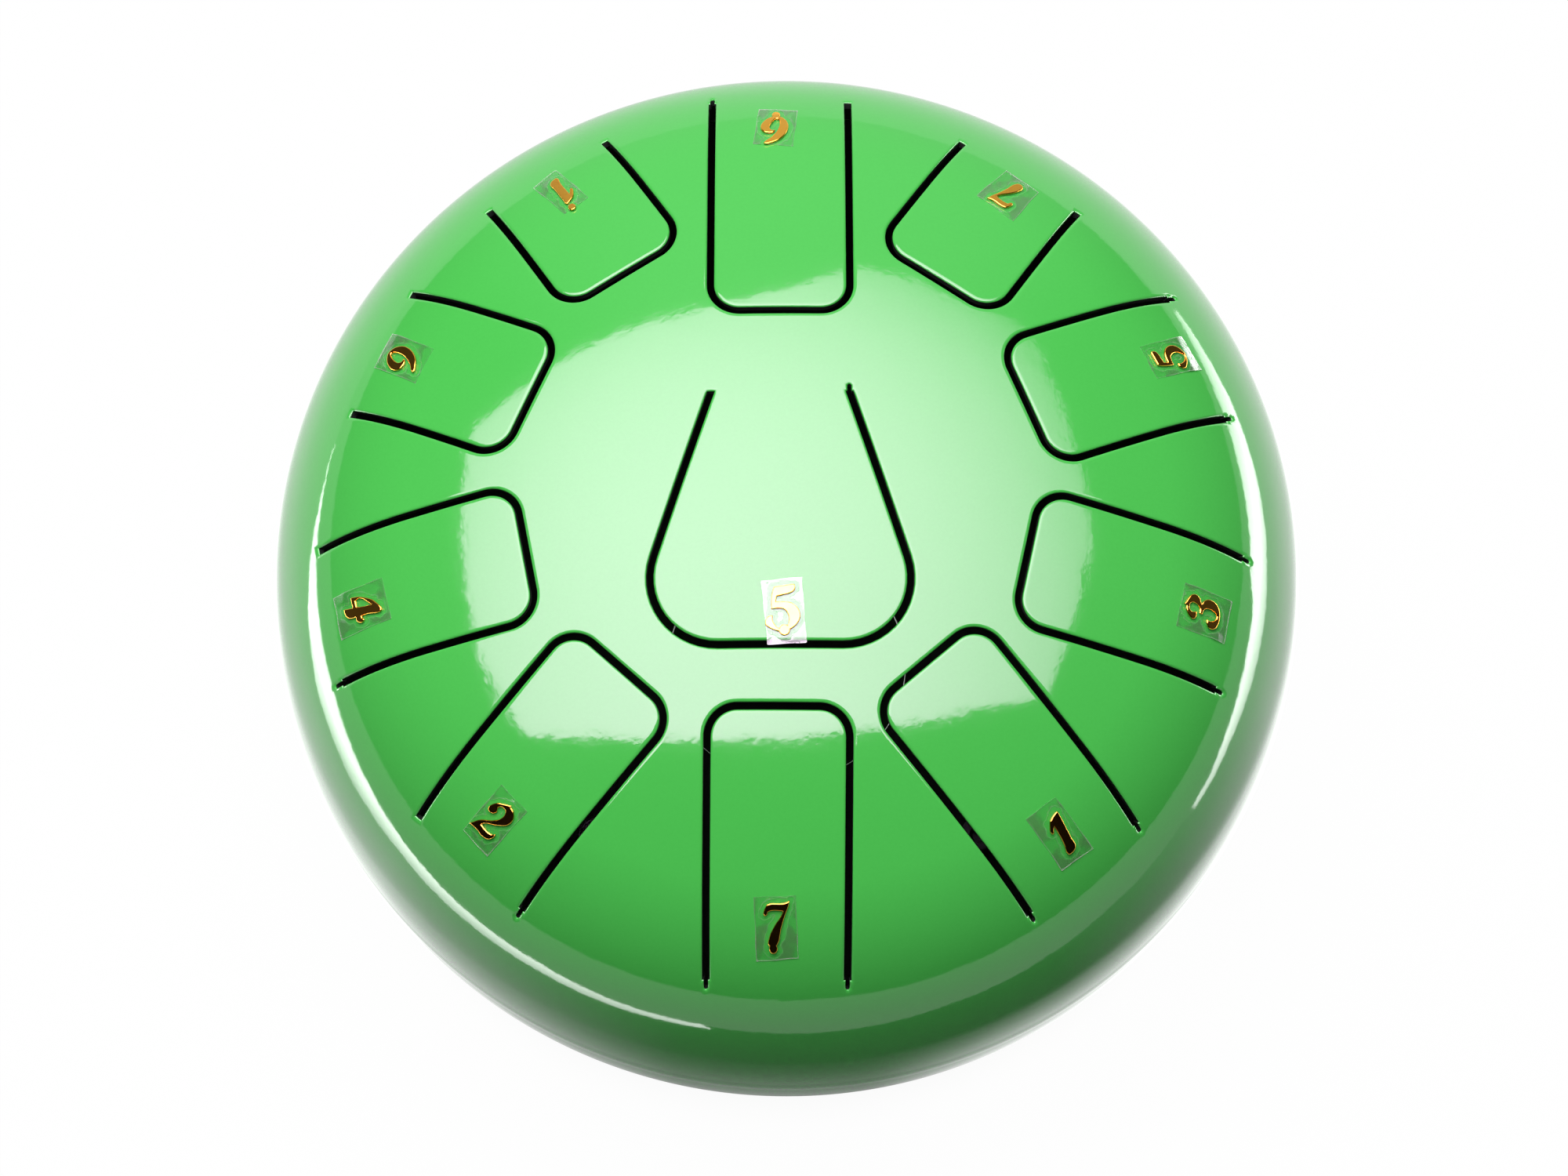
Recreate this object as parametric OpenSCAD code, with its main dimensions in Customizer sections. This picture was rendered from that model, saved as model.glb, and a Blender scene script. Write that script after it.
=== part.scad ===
// Steel tongue drum: two pressed bowls welded rim to rim, eleven cut tongues, numerals on clear film, rubber feet.
// Millimetres. The drum stands on z = 0, its axis is Z, and the middle tongue's free end points to -Y.

/* [Bowls] */
// Diameter of each bowl at its rim
drum_d = 254; // [230:1:290]
// Depth of each bowl from its crown to its rim
bowl_depth = 79; // [68:1:90]
// Radius of the shallow crown
crown_r = 252; // [220:1:320]
// Radius of the rounded shoulder
shoulder_r = 55; // [44:1:58]
// Radius of the wall near the rim
wall_r = 122; // [100:1:140]
// Thickness of the sheet steel
sheet_t = 2; // [1.2:0.1:2.6]

/* [Seam] */
// Gap that the weld fills between the two rims
seam_gap = 1.5; // [0.8:0.1:3]
// Width of the weld bead
bead_w = 5; // [3.5:0.1:8]
// How far the bead stands out of the wall
bead_proud = 0.5; // [0.2:0.05:1]

/* [Outer tongues] */
// Width of each outer tongue
tongue_w = 31.6; // [24:0.1:33]
// Width of the slot round a tongue
slot_w = 1.8; // [1:0.1:2.6]
// Corner radius of an outer tongue's free end
tongue_corner_r = 6.2; // [3:0.1:10]
// Distance from the rim in to the roots of the six lower outer tongues and of tongue 5
root_margin = 17; // [14:0.5:20]
// Distance from the rim in to the roots of the three highest tongues
high_root_margin = 20.5; // [17.5:0.5:23.5]
// Distance from the middle of the pattern to the free end of the tongue of note 6, one octave down
low6_tip_r = 48; // [46:0.5:56]
// Distance from the middle of the pattern to the free end of the tongue of note 7, one octave down
low7_tip_r = 51; // [49:0.5:58]
// Distance from the middle of the pattern to the free end of the tongue of note 1
note1_tip_r = 53; // [51:0.5:60]
// Distance from the middle of the pattern to the free end of the tongue of note 2
note2_tip_r = 56; // [54:0.5:63]
// Distance from the middle of the pattern to the free end of the tongue of note 3
note3_tip_r = 60.5; // [58:0.5:67]
// Distance from the middle of the pattern to the free end of the tongue of note 4
note4_tip_r = 62; // [60:0.5:68]
// Distance from the middle of the pattern to the free end of the tongue of note 5
note5_tip_r = 64.5; // [62:0.5:70]
// Distance from the middle of the pattern to the free end of the tongue of note 6
note6_tip_r = 66; // [64:0.5:72]
// Distance from the middle of the pattern to the free end of the tongue of note 7
note7_tip_r = 68.5; // [66:0.5:74]
// Distance from the middle of the pattern to the free end of the tongue of note 1, one octave up
high1_tip_r = 70; // [68:0.5:75]

/* [Middle tongue] */
// Length of the tongue of note 5, one octave down
low5_len = 61; // [52:0.5:64]
// Distance from the middle of the pattern to the middle tongue's root
low5_root_y = 26; // [20:0.5:29]
// Width of the middle tongue at its root
low5_root_w = 31; // [24:0.5:38]
// Greatest width of the middle tongue
low5_max_w = 59.5; // [46:0.5:62]
// Corner radius of the middle tongue's free end
low5_corner_r = 15.2; // [8:0.1:20]

/* [Tuning cuts] */
// Width of the narrow cut that lengthens a slot
tuning_w = 1; // [0.6:0.1:1.6]
// Length of such a cut
tuning_len = 1.8; // [0.8:0.1:3]
// How far to the left of the drum's axis the cut pattern sits
pattern_left = 1.5; // [0:0.1:3]
// How far in front of the drum's axis the cut pattern sits
pattern_front = 0.5; // [0:0.1:3]

/* [Films and numerals] */
// Length of a film, along the tongue
film_l = 15.3; // [12:0.1:18]
// Width of a film
film_w = 9.6; // [7:0.1:12]
// Thickness of a film
film_t = 0.15; // [0.1:0.01:0.3]
// Distance from the roots of the lower outer tongues in to the middles of the outer films
film_inset = 10; // [9:0.5:13]
// Distance of the middle film from the middle of the pattern
film_low5_r = 27.8; // [26:0.1:29]
// Height of a numeral without its dot
numeral_h = 9; // [7:0.1:10]
// Thickness of a numeral
numeral_t = 0.6; // [0.3:0.05:1]
// Diameter of an octave dot
dot_d = 1.8; // [1:0.1:2.2]

/* [Sound hole and feet] */
// Diameter of the sound hole in the lower bowl
sound_hole_d = 64; // [40:1:80]
// Height of the lower bowl's crown line above the floor
floor_gap = 2.5; // [2:0.1:8]
// Radius of the circle on which the feet sit
foot_ring_r = 70; // [60:0.5:76]
// Number of feet
foot_count = 4; // [3:1:6]
// Diameter of a foot at the floor
foot_floor_d = 18; // [16:0.5:20]
// Diameter of a foot at the bowl
foot_top_d = 21; // [20:0.5:24]
// Diameter of the recess for the screw's head
recess_d = 10; // [9.8:0.1:12]
// Depth of the recess
recess_h = 4.6; // [4.4:0.1:6]
// Diameter of the screw's thread
screw_d = 4; // [3:0.1:4]
// Length of the screw under its head
screw_l = 15; // [14:0.5:18]
// Diameter of the screw's head
head_d = 7.6; // [6:0.1:8]
// Height of the screw's head
head_h = 2.4; // [2:0.1:3]
// Diameter of the washer
washer_d = 9; // [8.4:0.1:9.4]
// Thickness of the washer
washer_t = 0.8; // [0.5:0.1:1]
// Outer diameter of the threaded boss
boss_d = 9; // [7:0.1:12]
// Height of the threaded boss above the floor of the bowl
boss_h = 7; // [5:0.1:10]

/* [Hidden] */
$fn = 240;
// Gap across a tongue's root, between the tongue and the bowl that carries it
root_gap = 0.25;
// Gap left between two pieces that rest on each other
seat = 0.05;
// Clearance round a screw
screw_clearance = 0.2;
// Clearance of a thread in its boss
thread_clearance = 0.05;
// How far a cut runs past what it cuts
overrun = 1;
// How far the corner that the shoulder replaces reaches from the shoulder's centre, as a share of its radius
corner_share = 2;
// Width and depth of the cross in a screw's head, as shares of the head
cross_w_share = 0.16;
cross_h_share = 0.5;
// Number of flats across the weld bead
bead_steps = 10;
// Number of steps on each round stretch of a numeral's outline
numeral_steps = 3;
// Squares of the grid on which the numerals are drawn, over a numeral's height
numeral_grid_count = 9;

rim_r = drum_d / 2;
root_ring_r = rim_r - root_margin;
high_root_ring_r = rim_r - high_root_margin;
film_ring_r = root_ring_r - film_inset;
wall_x = rim_r - wall_r;
// The shoulder arc touches the crown arc and the wall arc from inside, so its centre lies where two circles cross
arc_gap = norm([wall_x, crown_r - bowl_depth]);
to_crown = crown_r - shoulder_r;
to_wall = wall_r - shoulder_r;
cross_along = (arc_gap * arc_gap + to_crown * to_crown - to_wall * to_wall) / (2 * arc_gap);
cross_off = sqrt(to_crown * to_crown - cross_along * cross_along);
unit_x = wall_x / arc_gap;
unit_z = (bowl_depth - crown_r) / arc_gap;
shoulder_x = cross_along * unit_x - cross_off * unit_z;
shoulder_z = crown_r + cross_along * unit_z + cross_off * unit_x;
crown_slope = asin(shoulder_x / to_crown);
wall_slope = asin((shoulder_x - wall_x) / to_wall);
crown_edge_r = crown_r * sin(crown_slope);
shoulder_edge_r = shoulder_x + shoulder_r * sin(wall_slope);
// Slope and drop of the outer face at a distance r from the axis
function slope(r) =
    r < crown_edge_r ? asin(r / crown_r) :
    r < shoulder_edge_r ? asin((r - shoulder_x) / shoulder_r) :
    asin((r - wall_x) / wall_r);
function drop(r) =
    r < crown_edge_r ? crown_r * (1 - cos(slope(r))) :
    r < shoulder_edge_r ? shoulder_z - shoulder_r * cos(slope(r)) :
    bowl_depth - wall_r * cos(slope(r));

lower_rim_z = floor_gap + bowl_depth;
upper_rim_z = lower_rim_z + seam_gap;
crown_z = upper_rim_z + bowl_depth;
pattern_at = [-pattern_left, -pattern_front];
foot_top_z = floor_gap + drop(foot_ring_r + foot_top_d / 2) + sheet_t;
bowl_hole_r = screw_d / 2 + screw_clearance;

NOTES = ["low5", "low6", "low7", "1", "2", "3", "4", "5", "6", "7", "high1"];
// Which way each tongue's root points from the middle of the pattern
root_angle = [90, 90, -90.5, -49.5, -132, -12.5, -169, 23, 155.5, 56.5, 122.5];
root_r = [
    low5_root_y, root_ring_r, root_ring_r, root_ring_r, root_ring_r, root_ring_r,
    root_ring_r, root_ring_r, high_root_ring_r, high_root_ring_r, high_root_ring_r
];
tip_r = [
    low5_root_y - low5_len, low6_tip_r, low7_tip_r, note1_tip_r, note2_tip_r, note3_tip_r,
    note4_tip_r, note5_tip_r, note6_tip_r, note7_tip_r, high1_tip_r
];
// Which ends of each slot have a tuning cut: the one clockwise of the tongue, then the other
tuning_cut = [
    [1, 0], [0, 1], [1, 1], [1, 1], [0, 1], [1, 1], [0, 1], [1, 1], [0, 0], [0, 0], [0, 0]
];
// Which way each film's outer end points
film_angle = [for (i = [0:len(NOTES) - 1]) i == 0 ? -root_angle[0] : root_angle[i]];
film_r = [for (i = [0:len(NOTES) - 1]) i == 0 ? film_low5_r : film_ring_r];
// Each film's place along and across the tongue, as shares of its length and width, its turn, and its own size shares
film_shares = [
    [0, 0.09, 5, 1, 0.97], [0, 0.11, -5, 0.93, 1], [-0.05, -0.02, 3, 1.02, 1.02], [0.05, -0.02, 0, 1.04, 0.95],
    [-0.04, -0.08, -5, 1, 0.9], [0.19, -0.05, 1.5, 0.97, 1.12], [0.11, 0.18, 1, 0.97, 1.09],
    [0.15, 0.07, 1, 0.95, 0.96], [-0.05, 0.03, -7, 0.96, 1], [-0.07, -0.09, -2, 0.95, 1.14], [-0.07, 0.04, 7, 1, 0.76]
];
// Each numeral's place along and across the tongue, as shares of its height, its turn and its own size share
numeral_shares = [
    [-0.16, 0.13, 4, 1.1], [-0.1, 0.08, 2, 1], [-0.13, 0, 0, 1.02], [0.07, 0, 0, 1], [-0.07, -0.09, 0, 1],
    [0.32, -0.04, 0, 1], [0.19, 0.19, 0, 1], [0.21, 0.11, 0, 1], [-0.06, 0.03, 0, 1], [-0.11, -0.09, -5, 0.97],
    [-0.23, -0.05, 10, 1]
];

// Outlines of the digits on the grid, from their middle: across, up, and 1 where the outline has a corner
one_shares = [
    [-1.9, 0.9, 0], [-1.6, 1.7, 0], [-0.7, 2.7, 0], [0.5, 3.7, 0], [1.9, 4, 0], [2.3, 3.5, 0], [2, 1.5, 0],
    [1.7, -1, 0], [1.4, -3.5, 0], [0.9, -4.7, 0], [-0.2, -5, 0], [-1.1, -4.8, 0], [-1.1, -3.4, 0],
    [-0.5, -0.6, 0], [-0.2, 1.9, 1], [-0.9, 1.2, 0], [-1.4, 0.7, 0]
];
two_shares = [
    [-0.7, 1.6, 0], [-1.2, 1, 0], [-2.1, 0.8, 0], [-2.9, 1.6, 0], [-2.4, 3, 0], [-1.2, 3.9, 0], [1.1, 4.9, 1],
    [1.7, 4.5, 0], [2.8, 4, 0], [3.7, 2.6, 0], [3.5, 1.2, 0], [2.1, 0, 0], [0.2, -1, 0], [-1.9, -2.3, 1],
    [1.4, -2.5, 0], [2.3, -1.9, 1], [2.3, -2.9, 0], [1.1, -3.9, 0], [-0.5, -4.1, 0], [-2.3, -3.8, 0],
    [-4.4, -3.9, 1], [-3.9, -3, 0], [-2.4, -1.8, 0], [-0.9, -0.7, 0], [0.5, 0.5, 0], [1.2, 1.8, 0],
    [1.1, 3, 0], [0.2, 3.4, 0], [-0.8, 2.9, 0], [-1, 2.2, 0]
];
three_shares = [
    [0.2, 5, 1], [1.7, 4.6, 0], [2.9, 3.8, 0], [3.2, 2.6, 0], [2.5, 1.7, 0], [1.5, 1.2, 1], [2.7, 0.5, 0],
    [3.3, -0.9, 0], [2.9, -2.4, 0], [1.5, -3.5, 0], [-0.5, -4, 0], [-2.4, -3.6, 0], [-3.4, -2.5, 0],
    [-2.9, -1.6, 0], [-1.9, -1.1, 1], [-1.6, -1.7, 0], [-1.4, -2.6, 0], [-0.6, -3.1, 0], [0.4, -2.7, 0],
    [0.9, -1.5, 0], [0.7, -0.3, 0], [-0.1, 0.2, 0], [-0.9, 0.3, 1], [-0.8, 0.9, 0], [0.2, 1.2, 0],
    [1.2, 2, 0], [1.4, 3.2, 0], [0.4, 3.9, 0], [-0.8, 3.5, 0], [-1.2, 2.8, 0], [-0.6, 2.2, 1],
    [-1.6, 1.9, 0], [-2.7, 2.2, 0], [-2.6, 3.3, 0], [-1.2, 4.4, 0]
];
four_shares = [
    [1.4, 4.5, 0], [2.5, 4.6, 0], [2.6, 3.2, 0], [2.2, 1.2, 0], [2, 0, 1], [2.7, 0.1, 0], [3.4, 0.2, 0],
    [3.4, -0.8, 0], [2.8, -1.4, 0], [1.9, -1.5, 1], [1.7, -2.6, 0], [1.2, -3.6, 0], [-0.2, -3.9, 0],
    [-1, -3.6, 0], [-0.6, -1.8, 1], [-2.2, -1.9, 0], [-3.3, -1.8, 0], [-3, -0.8, 0], [-2, 0.9, 0], [0, 3.7, 0]
];
four_hole_shares = [[0.2, 2.6, 1], [-1.2, 1, 0], [-2.2, -0.7, 1], [-0.5, -0.7, 1], [-0.1, 1, 0]];
five_shares = [
    [-1.6, 3.9, 1], [0.4, 4, 0], [2.1, 4.3, 1], [2.1, 3.5, 0], [1.3, 2.6, 0], [0, 2.3, 0], [-1.1, 1.9, 0],
    [-1.2, 0.9, 1], [0.6, 0.95, 0], [1.9, 0.4, 0], [2.8, -1, 0], [2.5, -2.6, 0], [1.2, -3.9, 0], [-0.6, -4.4, 0],
    [-2.6, -3.9, 0], [-3.7, -2.8, 0], [-3.4, -1.9, 0], [-2.4, -1.5, 0], [-2.1, -2.2, 0], [-1.5, -3.4, 0],
    [-0.5, -3.8, 0], [0.3, -3.1, 0], [0.7, -1.9, 0], [0.4, -0.7, 0], [-0.6, -0.2, 0], [-2.3, 0, 1], [-2.2, 1.6, 0]
];
six_shares = [
    [3.2, 4.8, 0], [2, 4.4, 0], [0.6, 3.8, 0], [-0.9, 2.6, 0], [-2, 1, 0], [-2.5, -0.8, 0], [-2.1, -2.4, 0],
    [-1, -3.5, 0], [0.3, -3.8, 0], [1.9, -3.2, 0], [3.2, -1.9, 0], [3.8, -0.4, 0], [3.5, 0.9, 0], [2.3, 1.6, 0],
    [1, 1.4, 0], [0.4, 0.8, 1], [1.3, 0.4, 0], [1.8, -0.6, 0], [1.5, -1.8, 0], [0.6, -2.7, 0], [-0.3, -2.8, 0],
    [-0.7, -1.6, 0], [-0.4, 0, 0], [0.3, 1.6, 0], [1.4, 3, 0], [2.6, 3.9, 0], [3.4, 4.4, 0]
];
seven_shares = [
    [-3.1, 2.3, 0], [-2.9, 3.4, 0], [-2.2, 4.6, 0], [-0.6, 4.85, 0], [1.6, 4.9, 0], [2.9, 5.3, 1], [2.5, 3.6, 0],
    [1.7, 1.8, 0], [1.1, 0, 0], [0.6, -2, 0], [0.2, -3.8, 0], [-0.7, -4.2, 0], [-1.7, -3.9, 0], [-1.8, -2.5, 0],
    [-1.2, -0.8, 0], [-0.1, 1, 0], [1.1, 3.1, 1], [-0.6, 3.2, 0], [-1.9, 3.1, 0], [-2.3, 2.3, 0], [-2.7, 2, 0]
];
low5_dot_shares = [-0.3, -4.7];
low6_dot_shares = [0.2, -4.1];
low7_dot_shares = [-0.6, -4.5];
high1_dot_shares = [1.6, 4.6];

// Half of the upper bowl's section, filled, with its outer face moved out by grow; crown at the origin
module bowl_section(grow) {
    difference() {
        intersection() {
            translate([0, -crown_r]) circle(r = crown_r + grow);
            translate([wall_x, -bowl_depth]) circle(r = wall_r + grow);
            translate([0, -bowl_depth]) square([rim_r + overrun, bowl_depth + overrun]);
        }
        translate([shoulder_x, -shoulder_z])
            difference() {
                polygon([[0, 0], for (a = [crown_slope, wall_slope]) corner_share * shoulder_r * [sin(a), cos(a)]]);
                circle(r = shoulder_r + grow);
            }
    }
}

// Layer of the upper bowl between two distances from its outer face
module layer(low, high) {
    rotate_extrude()
        difference() {
            bowl_section(high);
            bowl_section(low);
        }
}

module upper_layer(low, high) {
    translate([0, 0, crown_z]) layer(low, high);
}

// Outline of a tongue that points from tip to root along X, grown on its sides and free end
module tongue_outline(tip, root, root_w, max_w, corner_r, grow) {
    centre = [tip + corner_r, max_w / 2 - corner_r];
    to_root = [root, root_w / 2] - centre;
    side = atan2(to_root[1], to_root[0]) + acos(corner_r / norm(to_root));
    r = corner_r + grow;
    touch = centre + r * [cos(side), sin(side)];
    root_y = touch[1] - (root - touch[0]) * cos(side) / sin(side);
    half = [[root, root_y], touch, centre, [tip - grow, centre[1]]];
    polygon([for (p = half) p, for (i = [3:-1:0]) [half[i][0], -half[i][1]]]);
    for (s = [-1, 1]) translate([centre[0], s * centre[1]]) circle(r = r);
}

function half_root_w(i) = (i == 0 ? low5_root_w : tongue_w) / 2;

// Outline of the tongue of note i, stopping short of its root by a gap
module note_outline(i, grow, gap) {
    tongue_outline(
        tip_r[i],
        root_r[i] - gap,
        2 * half_root_w(i),
        i == 0 ? low5_max_w : tongue_w,
        i == 0 ? low5_corner_r : tongue_corner_r,
        grow
    );
}

module at_pattern(angle) {
    translate(pattern_at) rotate(angle) children();
}

// Opening in the bowl for the tongue of note i, with its slot and tuning cuts
module note_opening(i) {
    at_pattern(root_angle[i]) {
        note_outline(i, slot_w, 0);
        for (s = [0, 1])
            if (tuning_cut[i][s] == 1)
                translate([root_r[i] - overrun, (2 * s - 1) * (half_root_w(i) + slot_w / 2) - tuning_w / 2])
                    square([overrun + tuning_len, tuning_w]);
    }
}

module top_shell() {
    color("limegreen")
        difference() {
            upper_layer(-sheet_t, 0);
            for (i = [0:len(NOTES) - 1])
                translate([0, 0, upper_rim_z]) linear_extrude(bowl_depth + overrun) note_opening(i);
        }
}

module tongue(i) {
    color("limegreen")
        intersection() {
            upper_layer(-sheet_t, 0);
            translate([0, 0, upper_rim_z])
                linear_extrude(bowl_depth + overrun)
                    at_pattern(root_angle[i]) note_outline(i, 0, root_gap);
        }
}

module film(i) {
    s = film_shares[i];
    l = film_l * s[3] * cos(slope(film_r[i]));
    w = film_w * s[4];
    color("palegreen", 0.4)
        intersection() {
            upper_layer(seat, seat + film_t);
            translate([0, 0, upper_rim_z])
                linear_extrude(bowl_depth + overrun)
                    at_pattern(film_angle[i])
                        translate([film_r[i] + s[0] * film_l, s[1] * film_w])
                            rotate(s[2]) square([l, w], center = true);
        }
}

// Outline through points on the numeral grid, curved except at its corners
function along_curve(p, q, start, end, t) =
    (2 * t * t * t - 3 * t * t + 1) * p + (t * t * t - 2 * t * t + t) * start
    + (3 * t * t - 2 * t * t * t) * q + (t * t * t - t * t) * end;
function outline(points) = [
    for (i = [0:len(points) - 1])
        let (
            n = len(points),
            before = points[(i + n - 1) % n],
            p = points[i],
            q = points[(i + 1) % n],
            after = points[(i + 2) % n],
            chord = q - p,
            start = p[2] == 1 ? chord : (q - before) / 2,
            end = q[2] == 1 ? chord : (after - p) / 2,
            steps = p[2] == 1 && q[2] == 1 ? 1 : numeral_steps
        )
            for (k = [0:steps - 1])
                let (c = along_curve(p, q, start, end, k / steps)) [c[0], c[1]]
];

module drawn(points) {
    polygon(outline(points) * numeral_h / numeral_grid_count);
}

module dot(place) {
    translate(place * numeral_h / numeral_grid_count) circle(d = dot_d);
}

module digit(i) {
    if (i == 0) {
        drawn(five_shares);
        dot(low5_dot_shares);
    }
    if (i == 1) {
        drawn(six_shares);
        dot(low6_dot_shares);
    }
    if (i == 2) {
        drawn(seven_shares);
        dot(low7_dot_shares);
    }
    if (i == 3) drawn(one_shares);
    if (i == 4) drawn(two_shares);
    if (i == 5) drawn(three_shares);
    if (i == 6)
        difference() {
            drawn(four_shares);
            drawn(four_hole_shares);
        }
    if (i == 7) drawn(five_shares);
    if (i == 8) drawn(six_shares);
    if (i == 9) drawn(seven_shares);
    if (i == 10) {
        drawn(one_shares);
        dot(high1_dot_shares);
    }
}

// A numeral lies flat on the highest point of the film under it, with its top towards the drum's middle
module numeral(i) {
    s = numeral_shares[i];
    a = film_angle[i];
    local = [film_r[i] + s[0] * numeral_h, s[1] * numeral_h];
    place = pattern_at + [local[0] * cos(a) - local[1] * sin(a), local[0] * sin(a) + local[1] * cos(a)];
    r = norm(place);
    around = atan2(place[1], place[0]);
    color("goldenrod")
        translate([place[0], place[1], crown_z - drop(r)])
            rotate([0, 0, around])
                rotate([0, slope(r), 0])
                    rotate([0, 0, a - around + 90 + s[2]])
                        translate([0, 0, 2 * seat + film_t])
                            linear_extrude(numeral_t) scale(s[3]) digit(i);
}

module bottom_shell() {
    color("limegreen")
        difference() {
            translate([0, 0, floor_gap]) mirror([0, 0, 1]) layer(-sheet_t, 0);
            cylinder(d = sound_hole_d, h = lower_rim_z / 2);
            at_feet() cylinder(r = bowl_hole_r, h = lower_rim_z / 2);
        }
}

// Weld bead on the outside of the seam, with its root in the gap between the rims
module seam_weld() {
    bead_r = (bead_w * bead_w / 4 + bead_proud * bead_proud) / (2 * bead_proud);
    bead_turn = asin(bead_w / 2 / bead_r);
    bead_x = rim_r + bead_proud - bead_r;
    crest = [
        for (k = [0:bead_steps])
            let (a = bead_turn * (2 * k / bead_steps - 1)) [bead_x + bead_r * cos(a), bead_r * sin(a)]
    ];
    color("limegreen")
        translate([0, 0, lower_rim_z + seam_gap / 2])
            rotate_extrude() {
                translate([rim_r - sheet_t, -seam_gap / 2]) square([sheet_t, seam_gap]);
                difference() {
                    polygon([[rim_r - bead_proud, -bead_w / 2], each crest, [rim_r - bead_proud, bead_w / 2]]);
                    for (s = [-1, 1])
                        intersection() {
                            translate([wall_x, s * seam_gap / 2]) circle(r = wall_r);
                            translate([0, (s * bead_w + seam_gap * s) / 2 - bead_w / 2]) square([rim_r, bead_w]);
                        }
                    translate([rim_r - sheet_t, -seam_gap / 2]) square([sheet_t, seam_gap]);
                }
            }
}

module at_feet() {
    for (i = [0:foot_count - 1])
        rotate(360 * (i + 0.5) / foot_count) translate([foot_ring_r, 0, 0]) children();
}

module bowl_sphere(r) {
    translate([0, 0, floor_gap + crown_r]) sphere(r = r);
}

module rubber_feet() {
    color("dimgray")
        difference() {
            at_feet()
                difference() {
                    cylinder(d1 = foot_floor_d, d2 = foot_top_d, h = foot_top_z);
                    translate([0, 0, -overrun]) cylinder(d = recess_d, h = overrun + recess_h);
                    cylinder(r = bowl_hole_r, h = foot_top_z + overrun);
                }
            bowl_sphere(crown_r + seat);
        }
}

module foot_bosses() {
    color("silver")
        intersection() {
            at_feet()
                difference() {
                    translate([0, 0, floor_gap])
                        cylinder(d = boss_d, h = drop(foot_ring_r) + sheet_t + boss_h);
                    cylinder(r = screw_d / 2 + thread_clearance, h = lower_rim_z);
                }
            bowl_sphere(crown_r - sheet_t - seat);
        }
}

module foot_washers() {
    color("silver")
        at_feet()
            translate([0, 0, recess_h - seat - washer_t])
                difference() {
                    cylinder(d = washer_d, h = washer_t);
                    translate([0, 0, -overrun]) cylinder(r = bowl_hole_r, h = washer_t + 2 * overrun);
                }
}

module foot_screws() {
    color("silver")
        at_feet()
            translate([0, 0, recess_h - washer_t - 2 * seat]) {
                cylinder(d = screw_d, h = screw_l);
                translate([0, 0, -head_h])
                    difference() {
                        cylinder(d1 = head_d - head_h / 2, d2 = head_d, h = head_h);
                        for (a = [0, 90])
                            rotate(a)
                                translate([-head_d / 4, -head_d * cross_w_share / 2, -overrun])
                                    cube([head_d / 2, head_d * cross_w_share, overrun + head_h * cross_h_share]);
                    }
            }
}

top_shell();
bottom_shell();
seam_weld();
rubber_feet();
foot_bosses();
foot_washers();
foot_screws();
tongue(0);  // tongue_low5
tongue(1);  // tongue_low6
tongue(2);  // tongue_low7
tongue(3);  // tongue_1
tongue(4);  // tongue_2
tongue(5);  // tongue_3
tongue(6);  // tongue_4
tongue(7);  // tongue_5
tongue(8);  // tongue_6
tongue(9);  // tongue_7
tongue(10);  // tongue_high1
film(0);  // film_low5
film(1);  // film_low6
film(2);  // film_low7
film(3);  // film_1
film(4);  // film_2
film(5);  // film_3
film(6);  // film_4
film(7);  // film_5
film(8);  // film_6
film(9);  // film_7
film(10);  // film_high1
numeral(0);  // numeral_low5
numeral(1);  // numeral_low6
numeral(2);  // numeral_low7
numeral(3);  // numeral_1
numeral(4);  // numeral_2
numeral(5);  // numeral_3
numeral(6);  // numeral_4
numeral(7);  // numeral_5
numeral(8);  // numeral_6
numeral(9);  // numeral_7
numeral(10);  // numeral_high1
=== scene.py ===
import math

import bmesh
import bpy
import numpy as np
from mathutils import Matrix, Vector
from mathutils.geometry import delaunay_2d_cdt


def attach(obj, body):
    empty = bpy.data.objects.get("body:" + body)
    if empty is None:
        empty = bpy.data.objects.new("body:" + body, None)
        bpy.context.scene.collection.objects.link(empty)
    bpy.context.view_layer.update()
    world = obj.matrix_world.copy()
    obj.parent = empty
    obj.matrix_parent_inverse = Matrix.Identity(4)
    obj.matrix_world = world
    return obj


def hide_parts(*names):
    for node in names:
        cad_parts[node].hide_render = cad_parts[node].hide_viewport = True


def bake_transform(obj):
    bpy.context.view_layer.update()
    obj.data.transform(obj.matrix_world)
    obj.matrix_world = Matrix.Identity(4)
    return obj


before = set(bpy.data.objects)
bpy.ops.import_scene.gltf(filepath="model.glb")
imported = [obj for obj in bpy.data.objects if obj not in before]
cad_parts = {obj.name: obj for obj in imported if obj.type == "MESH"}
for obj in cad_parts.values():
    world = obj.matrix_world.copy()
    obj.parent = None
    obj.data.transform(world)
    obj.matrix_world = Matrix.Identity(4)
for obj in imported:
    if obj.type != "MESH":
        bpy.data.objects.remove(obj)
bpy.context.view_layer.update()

# Sizes of the drum in millimetres: the part's own, but for slots that the lacquer makes narrower
MM = 0.001
RIM_R = 127.0
BOWL_DEPTH = 79.0
CROWN_R = 252.0
SHOULDER_R = 55.0
WALL_R = 122.0
SHEET = 2.0
SEAM_GAP = 1.5
BEAD_W = 8.0
BEAD_PROUD = 0.1
FLOOR_GAP = 2.5
LOWER_RIM_Z = FLOOR_GAP + BOWL_DEPTH
CROWN_Z = LOWER_RIM_Z + SEAM_GAP + BOWL_DEPTH
SLOT_W = 1.75
TUNING_W = 1.0
TUNING_LEN = 1.8
CUT_CORNER = 0.3
CORNER_STEPS = 14
PATTERN = np.array([-1.5, -0.5])
SOUND_HOLE_R = 32.0
FOOT_RING_R = 70.0
FOOT_COUNT = 4

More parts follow.
